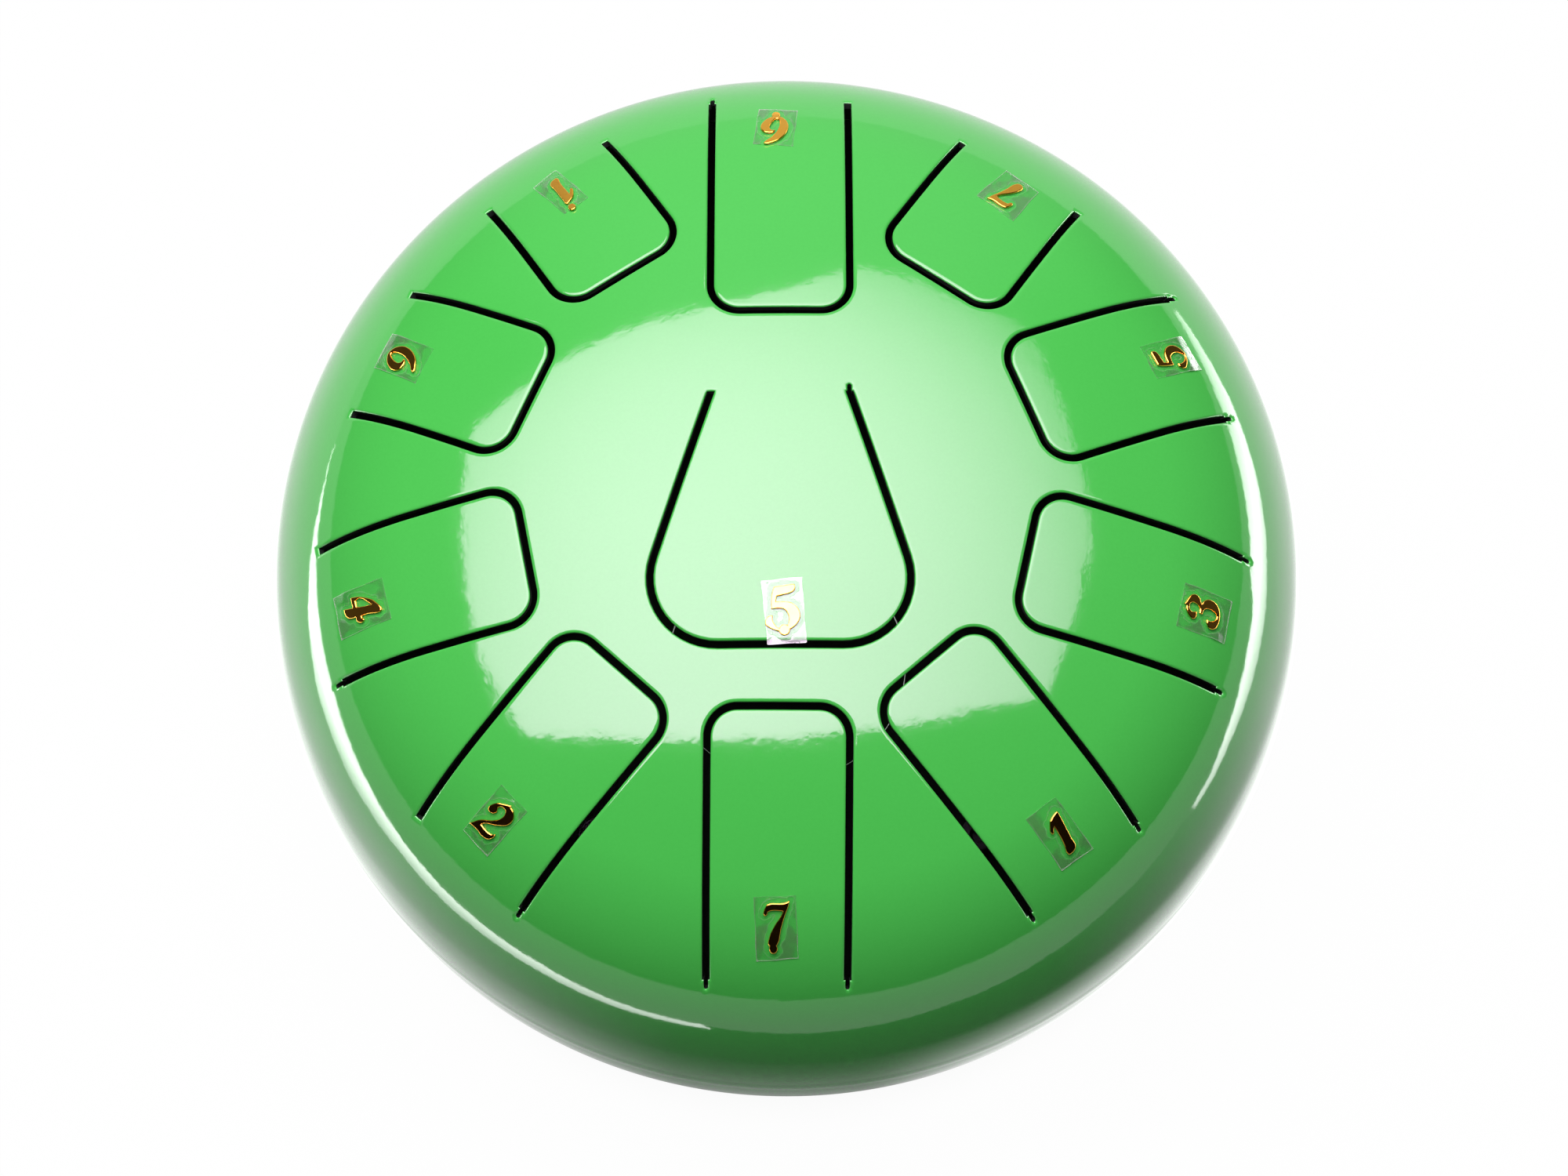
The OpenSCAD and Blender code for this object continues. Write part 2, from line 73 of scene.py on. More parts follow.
# Section of the lacquered cut edges, as distance in from the cut and drop below the sheet's face
EDGE = [(0.9, 0), (0.65, 0.015), (0.45, 0.045), (0.28, 0.1), (0.14, 0.19), (0.05, 0.3), (0, 0.44)]
UNDER_EDGE = [(0, SHEET - 0.12), (0.12, SHEET)]

# How finely the sheet is meshed, where its tongues join it, and the two places along each tongue that
# bend_from gives
MESH_STEP = 1.5
EDGE_STEP = 1.1
POINT_CLEAR = 0.75
JOIN_BACK = 3.0
BEND_LENGTH = 16.0
BEND_DROP = 20
FLAT_AREA_R = 116.5
TURN_STEPS = 360

# Each tongue: which way its root points, root's distance, length, root width, greatest width, corner radius,
# and which ends of its slot have a tuning cut
TONGUES = {
    "low5": (90, 26, 61, 31, 59.5, 15.2, (1, 0)),
    "low6": (90, 110, 62, 31.6, 31.6, 6.2, (0, 1)),
    "low7": (-90.5, 110, 59, 31.6, 31.6, 6.2, (1, 1)),
    "1": (-49.5, 110, 57, 31.6, 31.6, 6.2, (1, 1)),
    "2": (-132, 110, 54, 31.6, 31.6, 6.2, (0, 1)),
    "3": (-12.5, 110, 49.5, 31.6, 31.6, 6.2, (1, 1)),
    "4": (-169, 110, 48, 31.6, 31.6, 6.2, (0, 1)),
    "5": (23, 110, 45.5, 31.6, 31.6, 6.2, (1, 1)),
    "6": (155.5, 106.5, 40.5, 31.6, 31.6, 6.2, (0, 0)),
    "7": (56.5, 106.5, 38, 31.6, 31.6, 6.2, (0, 0)),
    "high1": (122.5, 106.5, 36.5, 31.6, 31.6, 6.2, (0, 0)),
}

# Corners of each film, along the tongue from the pattern's middle and across it
FILMS = {
    "low5": [(21.1, -4.5), (20.2, 5.0), (35.6, 6.1), (36.1, -3.0)],
    "low6": [(93.6, -3.1), (94.4, 6.5), (106.3, 5.2), (105.6, -4.4)],
    "low7": [(92.8, -5.5), (92.4, 4.3), (105.6, 5.1), (106.3, -4.8)],
    "1": [(93.7, -4.7), (94.1, 4.2), (107.9, 4.4), (107.2, -4.8)],
    "2": [(92.6, -4.6), (93.3, 4.2), (106.3, 3.0), (105.5, -5.6)],
    "3": [(97.2, -6.1), (97.3, 4.8), (109.2, 5.0), (109.4, -5.6)],
    "4": [(95.7, -3.6), (95.2, 6.8), (108.0, 7.2), (108.1, -3.5)],
    "5": [(96.6, -3.7), (96.1, 5.3), (107.8, 5.8), (109.0, -3.5)],
    "6": [(93.3, -3.7), (93.5, 5.9), (105.9, 4.3), (105.5, -5.3)],
    "7": [(92.8, -6.2), (93.7, 4.9), (105.2, 3.4), (104.7, -6.2)],
    "high1": [(92.7, -4.1), (92.2, 3.1), (104.4, 4.9), (105.9, -2.4)],
}

# Outlines of the numerals in millimetres, from their middle: across, up, and a 1 at each corner
ONE = [
    (-1.9, 1.1), (-1.3, 2.3), (-0.5, 3.2), (0.5, 3.65), (1.7, 3.95), (2.2, 4.05, 1), (2.45, 3.7, 1),
    (1.5, -2.1), (1.1, -4.4), (0.5, -4.8), (-0.6, -4.95), (-1.3, -4.85), (-1.5, -4.4), (-1.05, -2.9),
    (-0.3, 1.9, 1), (-0.9, 1.3), (-1.3, 0.8), (-1.7, 0.7),
]
TWO = [
    (-2.9, 1.7), (-2.6, 2.4), (-2.0, 3.2), (-0.1, 4.3), (1.25, 4.9, 1), (1.5, 4.6, 1), (2.3, 4.35),
    (3.1, 3.8), (3.65, 2.9), (3.7, 2.0), (3.3, 1.1), (1.7, -0.15), (-1.1, -1.65), (-1.95, -2.35, 1),
    (0.7, -2.65), (1.7, -2.45), (2.4, -1.9, 1), (2.45, -2.6), (1.7, -3.75), (0, -4.15), (-2.0, -3.85),
    (-4.4, -3.85, 1), (-2.9, -1.95), (0, 0.05), (1.0, 1.1), (1.3, 2.2), (0.9, 3.2), (0.1, 3.4),
    (-0.7, 3.1), (-0.95, 2.6), (-0.6, 1.9), (-0.9, 1.2), (-1.9, 0.8), (-2.65, 1.0),
]
THREE = [
    (-2.75, 2.3), (-2.5, 3.1), (-1.9, 3.8), (-0.9, 4.35), (-0.15, 4.6), (0.1, 5.05, 1), (0.7, 4.75, 1),
    (1.7, 4.4), (2.6, 3.95), (3.1, 3.35), (3.2, 2.6), (2.7, 1.75), (1.4, 1.05, 1), (2.5, 0.55),
    (3.15, -0.25), (3.3, -1.2), (3.0, -2.3), (2.2, -3.15), (1.0, -3.7), (-0.3, -3.9), (-1.7, -3.8),
    (-2.8, -3.4), (-3.45, -2.5), (-3.2, -1.6), (-2.5, -1.15), (-1.6, -0.9, 1), (-1.65, -1.6),
    (-1.4, -2.4), (-0.8, -3.0), (0, -3.1), (0.6, -2.7), (0.95, -1.8), (0.95, -0.9), (0.7, -0.2),
    (0.1, 0.25), (-0.9, 0.35, 1), (-0.9, 1.05, 1), (0.3, 1.25), (0.8, 1.6), (1.1, 2.3), (1.1, 3.1),
    (0.7, 3.6), (0, 3.75), (-0.8, 3.45), (-1.1, 2.9), (-0.9, 2.3), (-0.6, 2.05, 1), (-1.2, 1.75),
    (-2.0, 1.7),
]
FOUR = [
    (-3.2, -1.95, 1), (-2.8, -0.2), (-1.85, 1.6), (-0.7, 3.2), (0.4, 4.05), (1.3, 4.65), (2.1, 4.9),
    (2.7, 4.6), (2.75, 4.1), (2.15, 1.4), (2.05, -0.1, 1), (2.7, 0.05), (3.1, 0.35), (3.55, 0),
    (3.5, -0.7), (3.1, -1.3), (1.85, -1.55, 1), (1.7, -2.7), (1.3, -3.4), (0.3, -3.95), (-1.1, -4.05, 1),
    (-0.65, -1.85, 1), (-1.9, -1.95),
]
FOUR_HOLE = [(0.3, 2.8, 1), (-2.2, -0.5), (-2.05, -0.9, 1), (-0.4, -0.85, 1), (0.05, 1.1)]
FIVE = [
    (-1.6, 3.85, 1), (2.05, 4.15, 1), (2.25, 3.6), (1.9, 2.85), (1.2, 2.5), (-0.1, 2.25), (-1.2, 2.1, 1),
    (-1.45, 1.1, 1), (-0.4, 1.1), (0.9, 0.9), (1.9, 0.4), (2.55, -0.45), (2.8, -1.45), (2.6, -2.4),
    (1.95, -3.3), (0.9, -4.0), (-0.4, -4.4), (-1.7, -4.15), (-2.9, -3.55), (-3.6, -2.9), (-3.6, -2.2),
    (-3.0, -1.45), (-2.15, -1.3, 1), (-2.25, -2.1), (-1.95, -2.9), (-1.4, -3.6), (-0.8, -3.95),
    (-0.1, -3.8), (0.45, -3.1), (0.7, -2.1), (0.45, -1.0), (-0.1, -0.35), (-1.0, -0.15), (-2.35, -0.2, 1),
    (-2.3, 1.2), (-1.95, 3.0),
]
SIX = [
    (3.3, 4.7), (3.0, 4.15), (1.7, 3.2), (0.9, 2.35), (0.3, 1.5), (-0.25, 0.4), (-0.6, -0.9),
    (-0.65, -2.0), (-0.5, -2.7), (0, -2.9), (0.5, -2.6), (1.1, -1.8), (1.6, -0.8), (1.75, 0), (1.5, 0.55),
    (1.0, 0.8), (0.45, 0.7, 1), (0.75, 1.25), (1.4, 1.6), (2.3, 1.55), (3.15, 1.25), (3.7, 0.6),
    (3.9, -0.2), (3.75, -1.1), (3.2, -2.0), (2.3, -2.9), (1.2, -3.5), (0, -3.75), (-0.9, -3.5),
    (-1.9, -2.7), (-2.5, -1.6), (-2.7, -0.5), (-2.5, 0.7), (-2.0, 1.9), (-1.1, 3.1), (0.1, 4.05),
    (1.6, 4.65), (2.8, 4.95),
]
SEVEN = [
    (-3.2, 2.4), (-3.1, 3.1), (-2.8, 3.8), (-2.35, 4.45), (-1.6, 4.7), (0.7, 4.75), (1.9, 4.9),
    (2.85, 5.35, 1), (2.7, 4.4), (1.85, 2.1), (1.0, -0.6), (0.35, -3.5), (-0.2, -4.3), (-1.3, -4.5),
    (-2.0, -3.9), (-1.8, -2.4), (-0.6, 0), (0.9, 2.1), (1.4, 3.1, 1), (-1.5, 3.1), (-2.1, 2.9),
    (-2.3, 2.4), (-2.75, 2.05),
]

# Each numeral: outlines, place along the tongue and across it, share of the size above, turn in degrees, dot
NUMERALS = {
    "low5": ([FIVE], 27.4, 0.9, 1.29, 4, (-0.25, -4.1)),
    "low6": ([SIX], 99.2, 0.7, 1.03, 2, (0.1, -4.2)),
    "low7": ([SEVEN], 98.8, 0, 1.0, 0, (-0.8, -4.75)),
    "1": ([ONE], 100.6, 0, 1, 0, None),
    "2": ([TWO], 99.4, -0.8, 1, 0, None),
    "3": ([THREE], 102.9, -0.4, 1, 0, None),
    "4": ([FOUR, FOUR_HOLE], 101.7, 1.7, 1, 0, None),
    "5": ([FIVE], 101.9, 1.0, 1, 0, None),
    "6": ([SIX], 99.8, 0.3, 1, 0, None),
    "7": ([SEVEN], 98.9, -0.7, 0.94, -4, None),
    "high1": ([ONE], 98.0, -0.4, 0.94, 8, (1.9, 5.6)),
}
DOT_R = 1.0
# Blisters under the films: their middle along and across the tongue, half size each way, and height
BLISTERS = {
    "5": (105.9, 1.0, 2.0, 7.0, 0.42),
    "4": (105.0, -2.6, 1.6, 1.5, 0.36),
    "3": (106.9, -5.0, 1.5, 1.6, 0.36),
    "6": (103.6, -3.4, 1.6, 3.0, 0.2),
}

# Films: height over the sheet, thickness, lift round the numeral, wave of the cut edge, and mesh
FILM_RAISED = 0.05
FILM_THICK = 0.14
FILM_TENT = 0.22
TENT_REACH = 1.2
FILM_WAVE = 0.05
FILM_STEP = 0.35
FILM_EDGE_STEP = 0.4
FILM_CLEAR = 0.25

# Numerals: height, round edge, how deep they stand in the film, and rows of points in from their edge
NUMERAL_RISE = 0.32
NUMERAL_ROUND = 0.2
NUMERAL_FOOT = 0.06
NUMERAL_SUNK = 0.03
LOW5_RELIEF = 0.8
NUMERAL_ROWS = (0.02, 0.055, 0.1, 0.15, 0.21, 0.26)
NUMERAL_FLAT = 0.36
NUMERAL_STEP = 0.25
NUMERAL_EDGE_STEP = 0.16


# The bowl's face: crown, shoulder and wall are arcs that touch each other
WALL_X = RIM_R - WALL_R
_gap = math.hypot(WALL_X, CROWN_R - BOWL_DEPTH)
_crown = CROWN_R - SHOULDER_R
_wall = WALL_R - SHOULDER_R
_along = (_gap * _gap + _crown * _crown - _wall * _wall) / (2 * _gap)
_off = math.sqrt(_crown * _crown - _along * _along)
SHOULDER_X = (_along * WALL_X + _off * (CROWN_R - BOWL_DEPTH)) / _gap
SHOULDER_Z = CROWN_R + (_along * (BOWL_DEPTH - CROWN_R) + _off * WALL_X) / _gap
CROWN_SLOPE = math.asin(SHOULDER_X / _crown)
WALL_SLOPE = math.asin((SHOULDER_X - WALL_X) / _wall)
CROWN_EDGE = CROWN_R * math.sin(CROWN_SLOPE)
SHOULDER_EDGE = SHOULDER_X + SHOULDER_R * math.sin(WALL_SLOPE)

# The arcs' middles, as distance from the axis and depth below the crown, and their radii
ARC_X = np.array([0, SHOULDER_X, WALL_X])
ARC_DEPTH = np.array([CROWN_R, SHOULDER_Z, BOWL_DEPTH])
ARC_R = np.array([CROWN_R, SHOULDER_R, WALL_R])


def face_at(r):
    """Slope of the bowl's outer face and its drop below the crown, at distances r from the axis."""
    arc = (r >= CROWN_EDGE) * 1 + (r >= SHOULDER_EDGE)
    slope = np.arcsin(np.clip((r - ARC_X[arc]) / ARC_R[arc], -1, 1))
    return slope, ARC_DEPTH[arc] - ARC_R[arc] * np.cos(slope)


def ring_at(slope, height):
    """Distance from the axis and drop below the crown, at a slope and a height over the outer face."""
    arc = int(slope > CROWN_SLOPE) + int(slope > WALL_SLOPE)
    reach = ARC_R[arc] + height
    return ARC_X[arc] + reach * math.sin(slope), ARC_DEPTH[arc] - reach * math.cos(slope)


def normal_at(points, r, slope, way=1):
    """The bowl's normal at points a distance r from the axis, for the upper bowl or, with -1, the lower."""
    outward = points[:, :2] / np.maximum(r, 1e-9)[:, None] * np.sin(slope)[:, None]
    return np.column_stack([outward, np.cos(slope) * way])


def onto_bowl(flat):
    """Takes points in plan, with their height over the sheet's outer face, onto the upper bowl."""
    flat = np.asarray(flat, float)
    r = np.hypot(flat[:, 0], flat[:, 1])
    slope, drop = face_at(r)
    face = np.column_stack([flat[:, :2], CROWN_Z - drop])
    return face + normal_at(flat, r, slope) * flat[:, 2:3]


def height_and_normal(points, upper):
    """Height of points over the bowl's outer face and the face's normal there."""
    points = np.asarray(points, float)
    r = np.hypot(points[:, 0], points[:, 1])
    drop = CROWN_Z - points[:, 2] if upper else points[:, 2] - FLOOR_GAP
    slopes = [np.arctan2(r - x, depth - drop) for x, depth in zip(ARC_X, ARC_DEPTH)]
    arc = np.where(slopes[0] <= CROWN_SLOPE, 0, np.where(slopes[1] <= WALL_SLOPE, 1, 2))
    height = np.hypot(r - ARC_X[arc], ARC_DEPTH[arc] - drop) - ARC_R[arc]
    return height, normal_at(points, r, np.choose(arc, slopes), 1 if upper else -1)


# Making pieces from meshes
ON_FACE = 0.004
INNER_FACE = -SHEET * 0.97
ROUND_STEPS = 4


def piece(name, bm, materials, smooth_angle=40):
    """Turns a mesh in millimetres into a piece of the drum, smooth but for its sharp edges."""
    bmesh.ops.scale(bm, vec=(MM, MM, MM), verts=bm.verts)
    for edge in bm.edges:
        edge.smooth = len(edge.link_faces) == 2 and edge.calc_face_angle(0) < math.radians(smooth_angle)
    for face in bm.faces:
        face.smooth = True
    mesh = bpy.data.meshes.new(name)
    bm.to_mesh(mesh)
    bm.free()
    for material in materials:
        mesh.materials.append(material)
    made = bpy.data.objects.new(name, mesh)
    bpy.context.scene.collection.objects.link(made)
    return made


def corner_points(mesh):
    """Which point each corner of the mesh's faces is."""
    found = np.empty(len(mesh.loops), np.int32)
    mesh.loops.foreach_get("vertex_index", found)
    return found


def follow_bowl(made, upper=True, heights=(0.0, -SHEET)):
    """Shades a piece with the bowl's own normals where its faces lie at these heights over the bowl."""
    mesh = made.data
    points = np.empty(len(mesh.vertices) * 3, np.float32)
    mesh.vertices.foreach_get("co", points)
    height, normal = height_and_normal(points.reshape(-1, 3) / MM, upper)
    on_face = np.zeros(len(height), bool)
    for h in heights:
        on_face |= np.abs(height - h) < ON_FACE
    corner = corner_points(mesh)
    total = np.empty(len(mesh.polygons), np.int32)
    mesh.polygons.foreach_get("loop_total", total)
    flat = np.empty(len(mesh.polygons) * 3, np.float32)
    mesh.polygons.foreach_get("normal", flat)
    face_normal = np.repeat(flat.reshape(-1, 3), total, axis=0)
    along = (face_normal * normal[corner]).sum(1)
    use = on_face[corner] & (np.abs(along) > 0.3)
    given = np.where(use[:, None], normal[corner] * np.sign(along)[:, None], 0.0)
    mesh.normals_split_custom_set(given.tolist())


def inside(points, loop):
    """Which points of the plan lie inside a closed loop."""
    found = np.zeros(len(points), bool)
    near = np.flatnonzero(((points >= loop.min(0)) & (points <= loop.max(0))).all(1))
    x, y = points[near].T
    hit = np.zeros(len(near), bool)
    for (x0, y0), (x1, y1) in zip(loop, np.roll(loop, -1, 0)):
        crosses = (y0 > y) != (y1 > y)
        reach = (x1 - x0) * (y - y0) / (y1 - y0 if y1 != y0 else 1e-12) + x0
        hit ^= crosses & (x < reach)
    found[near] = hit
    return found


def clear_of(points, loop, space):
    """Which points of the plan keep a distance from all points of a loop."""
    low, high = loop.min(0) - space, loop.max(0) + space
    near = np.all((points > low) & (points < high), axis=1)
    keep = np.ones(len(points), bool)
    if near.any():
        distance = np.linalg.norm(points[near][:, None] - loop[None], axis=2).min(1)
        keep[near] = distance > space
    return keep


def lattice(reach, step):
    """Points of the plan on rings round the axis, a step apart."""
    rings = [np.zeros((1, 2))]
    for k in range(1, int(reach / step) + 1):
        r = k * step
        count = max(6, round(2 * math.pi * r / step))
        a = (np.arange(count) + 0.5 * (k % 2)) * 2 * math.pi / count
        rings.append(r * np.column_stack([np.cos(a), np.sin(a)]))
    return np.vstack(rings)


def square_grid(low, high, step):
    """Points of the plan in rows, a step apart."""
    across, along = np.meshgrid(np.arange(low[0], high[0], step), np.arange(low[1], high[1], step))
    return np.column_stack([across.ravel(), along.ravel()])


def walk(points, step):
    """The same path with no stretch longer than a step."""
    out = [points[0]]
    for a, b in zip(points[:-1], points[1:]):
        n = max(1, math.ceil(np.linalg.norm(b - a) / step))
        out += [a + (b - a) * k / n for k in range(1, n + 1)]
    return np.array(out)


def turning(a):
    """What points of the plan are multiplied by to turn them by an angle."""
    c, s = math.cos(a), math.sin(a)
    return np.array([[c, s], [-s, c]])


def arc(centre, r, start, end, steps):
    a = np.linspace(start, end, steps + 1)
    return np.asarray(centre) + r * np.column_stack([np.cos(a), np.sin(a)])


class Tongue:
    """A tongue's outlines in its own plan, with its root outward along X."""

    def __init__(self, angle, root, length, root_w, wide, corner, cuts):
        self.angle = math.radians(angle)
        self.root = root
        self.tip = root - length
        self.corner = corner
        self.cuts = cuts
        self.join = root - JOIN_BACK
        self.centre = np.array([self.tip + corner, wide / 2 - corner])
        to_root = np.array([root, root_w / 2]) - self.centre
        self.side = math.atan2(to_root[1], to_root[0]) + math.acos(corner / np.linalg.norm(to_root))

    def across(self, along, grow):
        """Half width of the tongue at a distance along it, with its edge moved out by grow."""
        touch = self.centre + (self.corner + grow) * np.array([math.cos(self.side), math.sin(self.side)])
        return touch[1] - (along - touch[0]) * math.cos(self.side) / math.sin(self.side)

    def half(self, end, grow):
        """From the side at a distance along to the middle of the free end."""
        curve = arc(self.centre, self.corner + grow, self.side, math.pi, CORNER_STEPS)
        start = [end, self.across(end, grow)]
        return np.vstack([start, curve, [self.tip - grow, 0]])

    def edge(self):
        """Path round the tongue, with the tongue on its right."""
        half = self.half(self.join, 0)
        return np.vstack([half * [1, -1], half[-2::-1]])

    def slot(self):
        """Path round the slot from the join, with the bowl on its right."""
        halves = []
        for cut in (self.cuts[1], self.cuts[0]):
            inner = self.across(self.root, 0)
            middle = inner + SLOT_W / 2
            end = [[self.root, inner]]
            if cut:
                a, b = middle - TUNING_W / 2, middle + TUNING_W / 2
                far = self.root + TUNING_LEN
                end += [[self.root, a], [far - CUT_CORNER, a], [far, a + CUT_CORNER]]
                end += [[far, b - CUT_CORNER], [far - CUT_CORNER, b], [self.root, b]]
            start = [self.join, self.across(self.join, 0)]
            halves.append(np.vstack([[start], end, self.half(self.root, SLOT_W)]))
        return np.vstack([halves[0], (halves[1] * [1, -1])[-2::-1]])

    def turned(self, points):
        return np.asarray(points) @ turning(self.angle) + PATTERN

    def rings(self, path):
        """Closed loops down the sheet's cut edge: rounded at the top and bottom, and square at the join."""
        step = np.diff(path, axis=0)
        step /= np.linalg.norm(step, axis=1)[:, None]
        right = np.column_stack([step[:, 1], -step[:, 0]])
        before, after = np.vstack([right[:1], right]), np.vstack([right, right[-1:]])
        push = (before + after) / (1 + (before * after).sum(1))[:, None]
        push[0] = [0, 1 / right[0][1]]
        push[-1] = [0, 1 / right[-1][1]]
        count = np.ceil(np.linalg.norm(np.roll(path, -1, 0) - path, axis=1) / EDGE_STEP).astype(int)
        levels = EDGE + UNDER_EDGE + [(EDGE[0][0], SHEET)]
        loops = []
        for d, h in levels:
            moved = path + d * push
            sides = zip(moved, np.roll(moved, -1, 0), count)
            plan = [a + (b - a) * np.arange(n)[:, None] / n for a, b, n in sides]
            plan = self.turned(np.vstack(plan))
            loops.append(np.column_stack([plan, np.full(len(plan), -h)]))
        return loops


def triangulated(plan, fixed):
    """Triangles between points of the plan that keep the given edges."""
    _, _, triangles, origin, _, _ = delaunay_2d_cdt([Vector(p) for p in plan], fixed, [], 0, 1e-7)
    source = [o[0] if o else len(plan) for o in origin]
    triangles = np.array([[source[i] for i in t] for t in triangles])
    triangles = triangles[(triangles < len(plan)).all(1)]
    first, second = (np.diff(np.asarray(plan)[triangles], axis=1)[:, k] for k in (0, 1))
    return triangles[np.abs(first[:, 0] * second[:, 1] - first[:, 1] * second[:, 0]) > 1e-6]


def drop_loose(bm):
    """Removes points that no face uses."""
    for v in [v for v in bm.verts if not v.link_faces]:
        bm.verts.remove(v)


def prime_inside(bm, upper):
    """Gives the faces on the sheet's inner side the second finish: primer made near black as painted shade
    for the drum's dark inside.
    """
    for face in bm.faces:
        if height_and_normal([face.calc_center_median()], upper)[0][0] < INNER_FACE:
            face.material_index = 1


def laid(bm, plan, height):
    """New points of a mesh over the plan, at a height over the upper bowl's face."""
    return [bm.verts.new(p) for p in onto_bowl(np.column_stack([plan, height]))]


def sheet(contours, kept, rim=None):
    """Part of the bowl's sheet: its two faces between the contours, and their edges."""
    bm = bmesh.new()
    plan, rows = [], []
    for loops in contours:
        rows.append((len(plan), len(loops[0])))
        plan += list(loops[0][:, :2])
    fixed = [(start + k, start + (k + 1) % n) for start, n in rows for k in range(n)]
    if rim is not None:
        start = len(plan)
        plan += list(rim)
        fixed += [(start + k, start + (k + 1) % len(rim)) for k in range(len(rim))]
    plan = np.vstack([plan, kept])
    triangles = triangulated(plan, fixed)
    centre = plan[triangles].mean(1)
    if rim is not None:
        keep = inside(centre, np.asarray(rim))
        for loops in contours:
            keep &= ~inside(centre, loops[0][:, :2])
    else:
        keep = inside(centre, contours[0][0][:, :2])
    top = laid(bm, plan, np.zeros(len(plan)))
    under = laid(bm, plan, np.full(len(plan), -SHEET))
    for a, b, c in triangles[keep]:
        bm.faces.new((top[a], top[b], top[c]))
        bm.faces.new((under[c], under[b], under[a])).material_index = 1
    for (start, n), loops in zip(rows, contours):
        levels = [top[start:start + n]]
        levels += [[bm.verts.new(p) for p in onto_bowl(loop)] for loop in loops[1:-1]]
        levels.append(under[start:start + n])
        for row, (upper, lower) in enumerate(zip(levels, levels[1:])):
            for k in range(n):
                face = bm.faces.new((upper[k], lower[k], lower[(k + 1) % n], upper[(k + 1) % n]))
                # Cut walls below the rounded edge take the near-black primer: painted shade in the slots
                face.material_index = int(row >= len(EDGE) - 1)
    drop_loose(bm)
    return bm


def turn_round(bm, section, closed, steps):
    """Turns a section, given as distances from the axis and heights, round the axis."""
    verts = [bm.verts.new((r, 0, z)) for r, z in section]
    edges = [bm.edges.new(pair) for pair in zip(verts, verts[1:])]
    if closed:
        edges.append(bm.edges.new((verts[-1], verts[0])))
    bmesh.ops.spin(
        bm, geom=verts + edges, cent=(0, 0, 0), axis=(0, 0, 1), dvec=(0, 0, 0), angle=2 * math.pi,
        steps=steps, use_merge=True, use_duplicate=False,
    )


def turned_band(start_slope, upper, steps=TURN_STEPS, hole_edge=False):
    """The bowl from a slope down to its rim, turned round the axis."""
    bm = bmesh.new()
    slopes = np.concatenate([
        np.arange(start_slope, CROWN_SLOPE, math.radians(0.5)) if start_slope < CROWN_SLOPE else [],
        np.arange(max(start_slope, CROWN_SLOPE), WALL_SLOPE, math.radians(2.2)),
        np.linspace(WALL_SLOPE, math.pi / 2, 7),
    ])
    outer = [ring_at(s, 0) for s in slopes]
    inner = [ring_at(s, -SHEET) for s in slopes]
    section = outer + inner[::-1]
    if hole_edge:
        (r0, d0), (r1, d1) = outer[0], inner[0]
        lip = []
        for a in np.linspace(0, math.pi, 9):
            share = 0.5 - 0.5 * math.cos(a)
            out = 0.5 * math.sin(a)
            lip.append((r1 + (r0 - r1) * share - out, d1 + (d0 - d1) * share))
        section += lip[1:-1]
    sign = 1 if upper else -1
    base = CROWN_Z if upper else FLOOR_GAP
    turn_round(bm, [(r, base - sign * d) for r, d in section], hole_edge, steps)
    return bm


def spun(name, section, material, places=((0, 0, 0),), steps=64, smooth_angle=40):
    """A turned piece from its section, closed on itself or on the axis, at one place or several."""
    bm = bmesh.new()
    turn_round(bm, section, section[0][0] > 1e-6 or section[-1][0] > 1e-6, steps)
    bmesh.ops.remove_doubles(bm, verts=bm.verts, dist=1e-5)
    bmesh.ops.recalc_face_normals(bm, faces=bm.faces)
    one = bm.verts[:] + bm.edges[:] + bm.faces[:]
    for place in places[1:]:
        copy = bmesh.ops.duplicate(bm, geom=one)["geom"]
        moved = [v for v in copy if isinstance(v, bmesh.types.BMVert)]
        bmesh.ops.translate(bm, vec=place, verts=moved)
    bmesh.ops.translate(bm, vec=places[0], verts=[v for v in one if isinstance(v, bmesh.types.BMVert)])
    return piece(name, bm, [material], smooth_angle)


def rounded(section, radii):
    """A section with its corners rounded, one radius to each corner."""
    out = []
    n = len(section)
    for k, (point, r) in enumerate(zip(section, radii)):
        p = np.array(point, float)
        if r == 0:
            out.append(tuple(p))
            continue
        a, b = np.array(section[k - 1], float) - p, np.array(section[(k + 1) % n], float) - p
        a, b = a / np.linalg.norm(a), b / np.linalg.norm(b)
        half = math.acos(np.clip(a @ b, -1, 1)) / 2
        start, end = p + a * r / math.tan(half), p + b * r / math.tan(half)
        middle = p + (a + b) / np.linalg.norm(a + b) * r / math.sin(half)
        for t in np.linspace(0, 1, ROUND_STEPS + 1):
            q = start * (1 - t) + end * t - middle
            out.append(tuple(middle + q / np.linalg.norm(q) * r))
    return out


# Materials
class Wire:
    """An output of a material's node. Python's operators on it add Math nodes."""

    def __init__(self, paint, socket):
        self.paint = paint
        self.socket = socket

    def _with(self, operation, a, b):
        return self.paint.node("ShaderNodeMath", {"operation": operation}, {0: a, 1: b})

    def __add__(self, other):
        return self._with("ADD", self, other)

    __radd__ = __add__

    def __sub__(self, other):
        return self._with("SUBTRACT", self, other)

    def __rsub__(self, other):
        return self._with("SUBTRACT", other, self)

    def __mul__(self, other):
        return self._with("MULTIPLY", self, other)


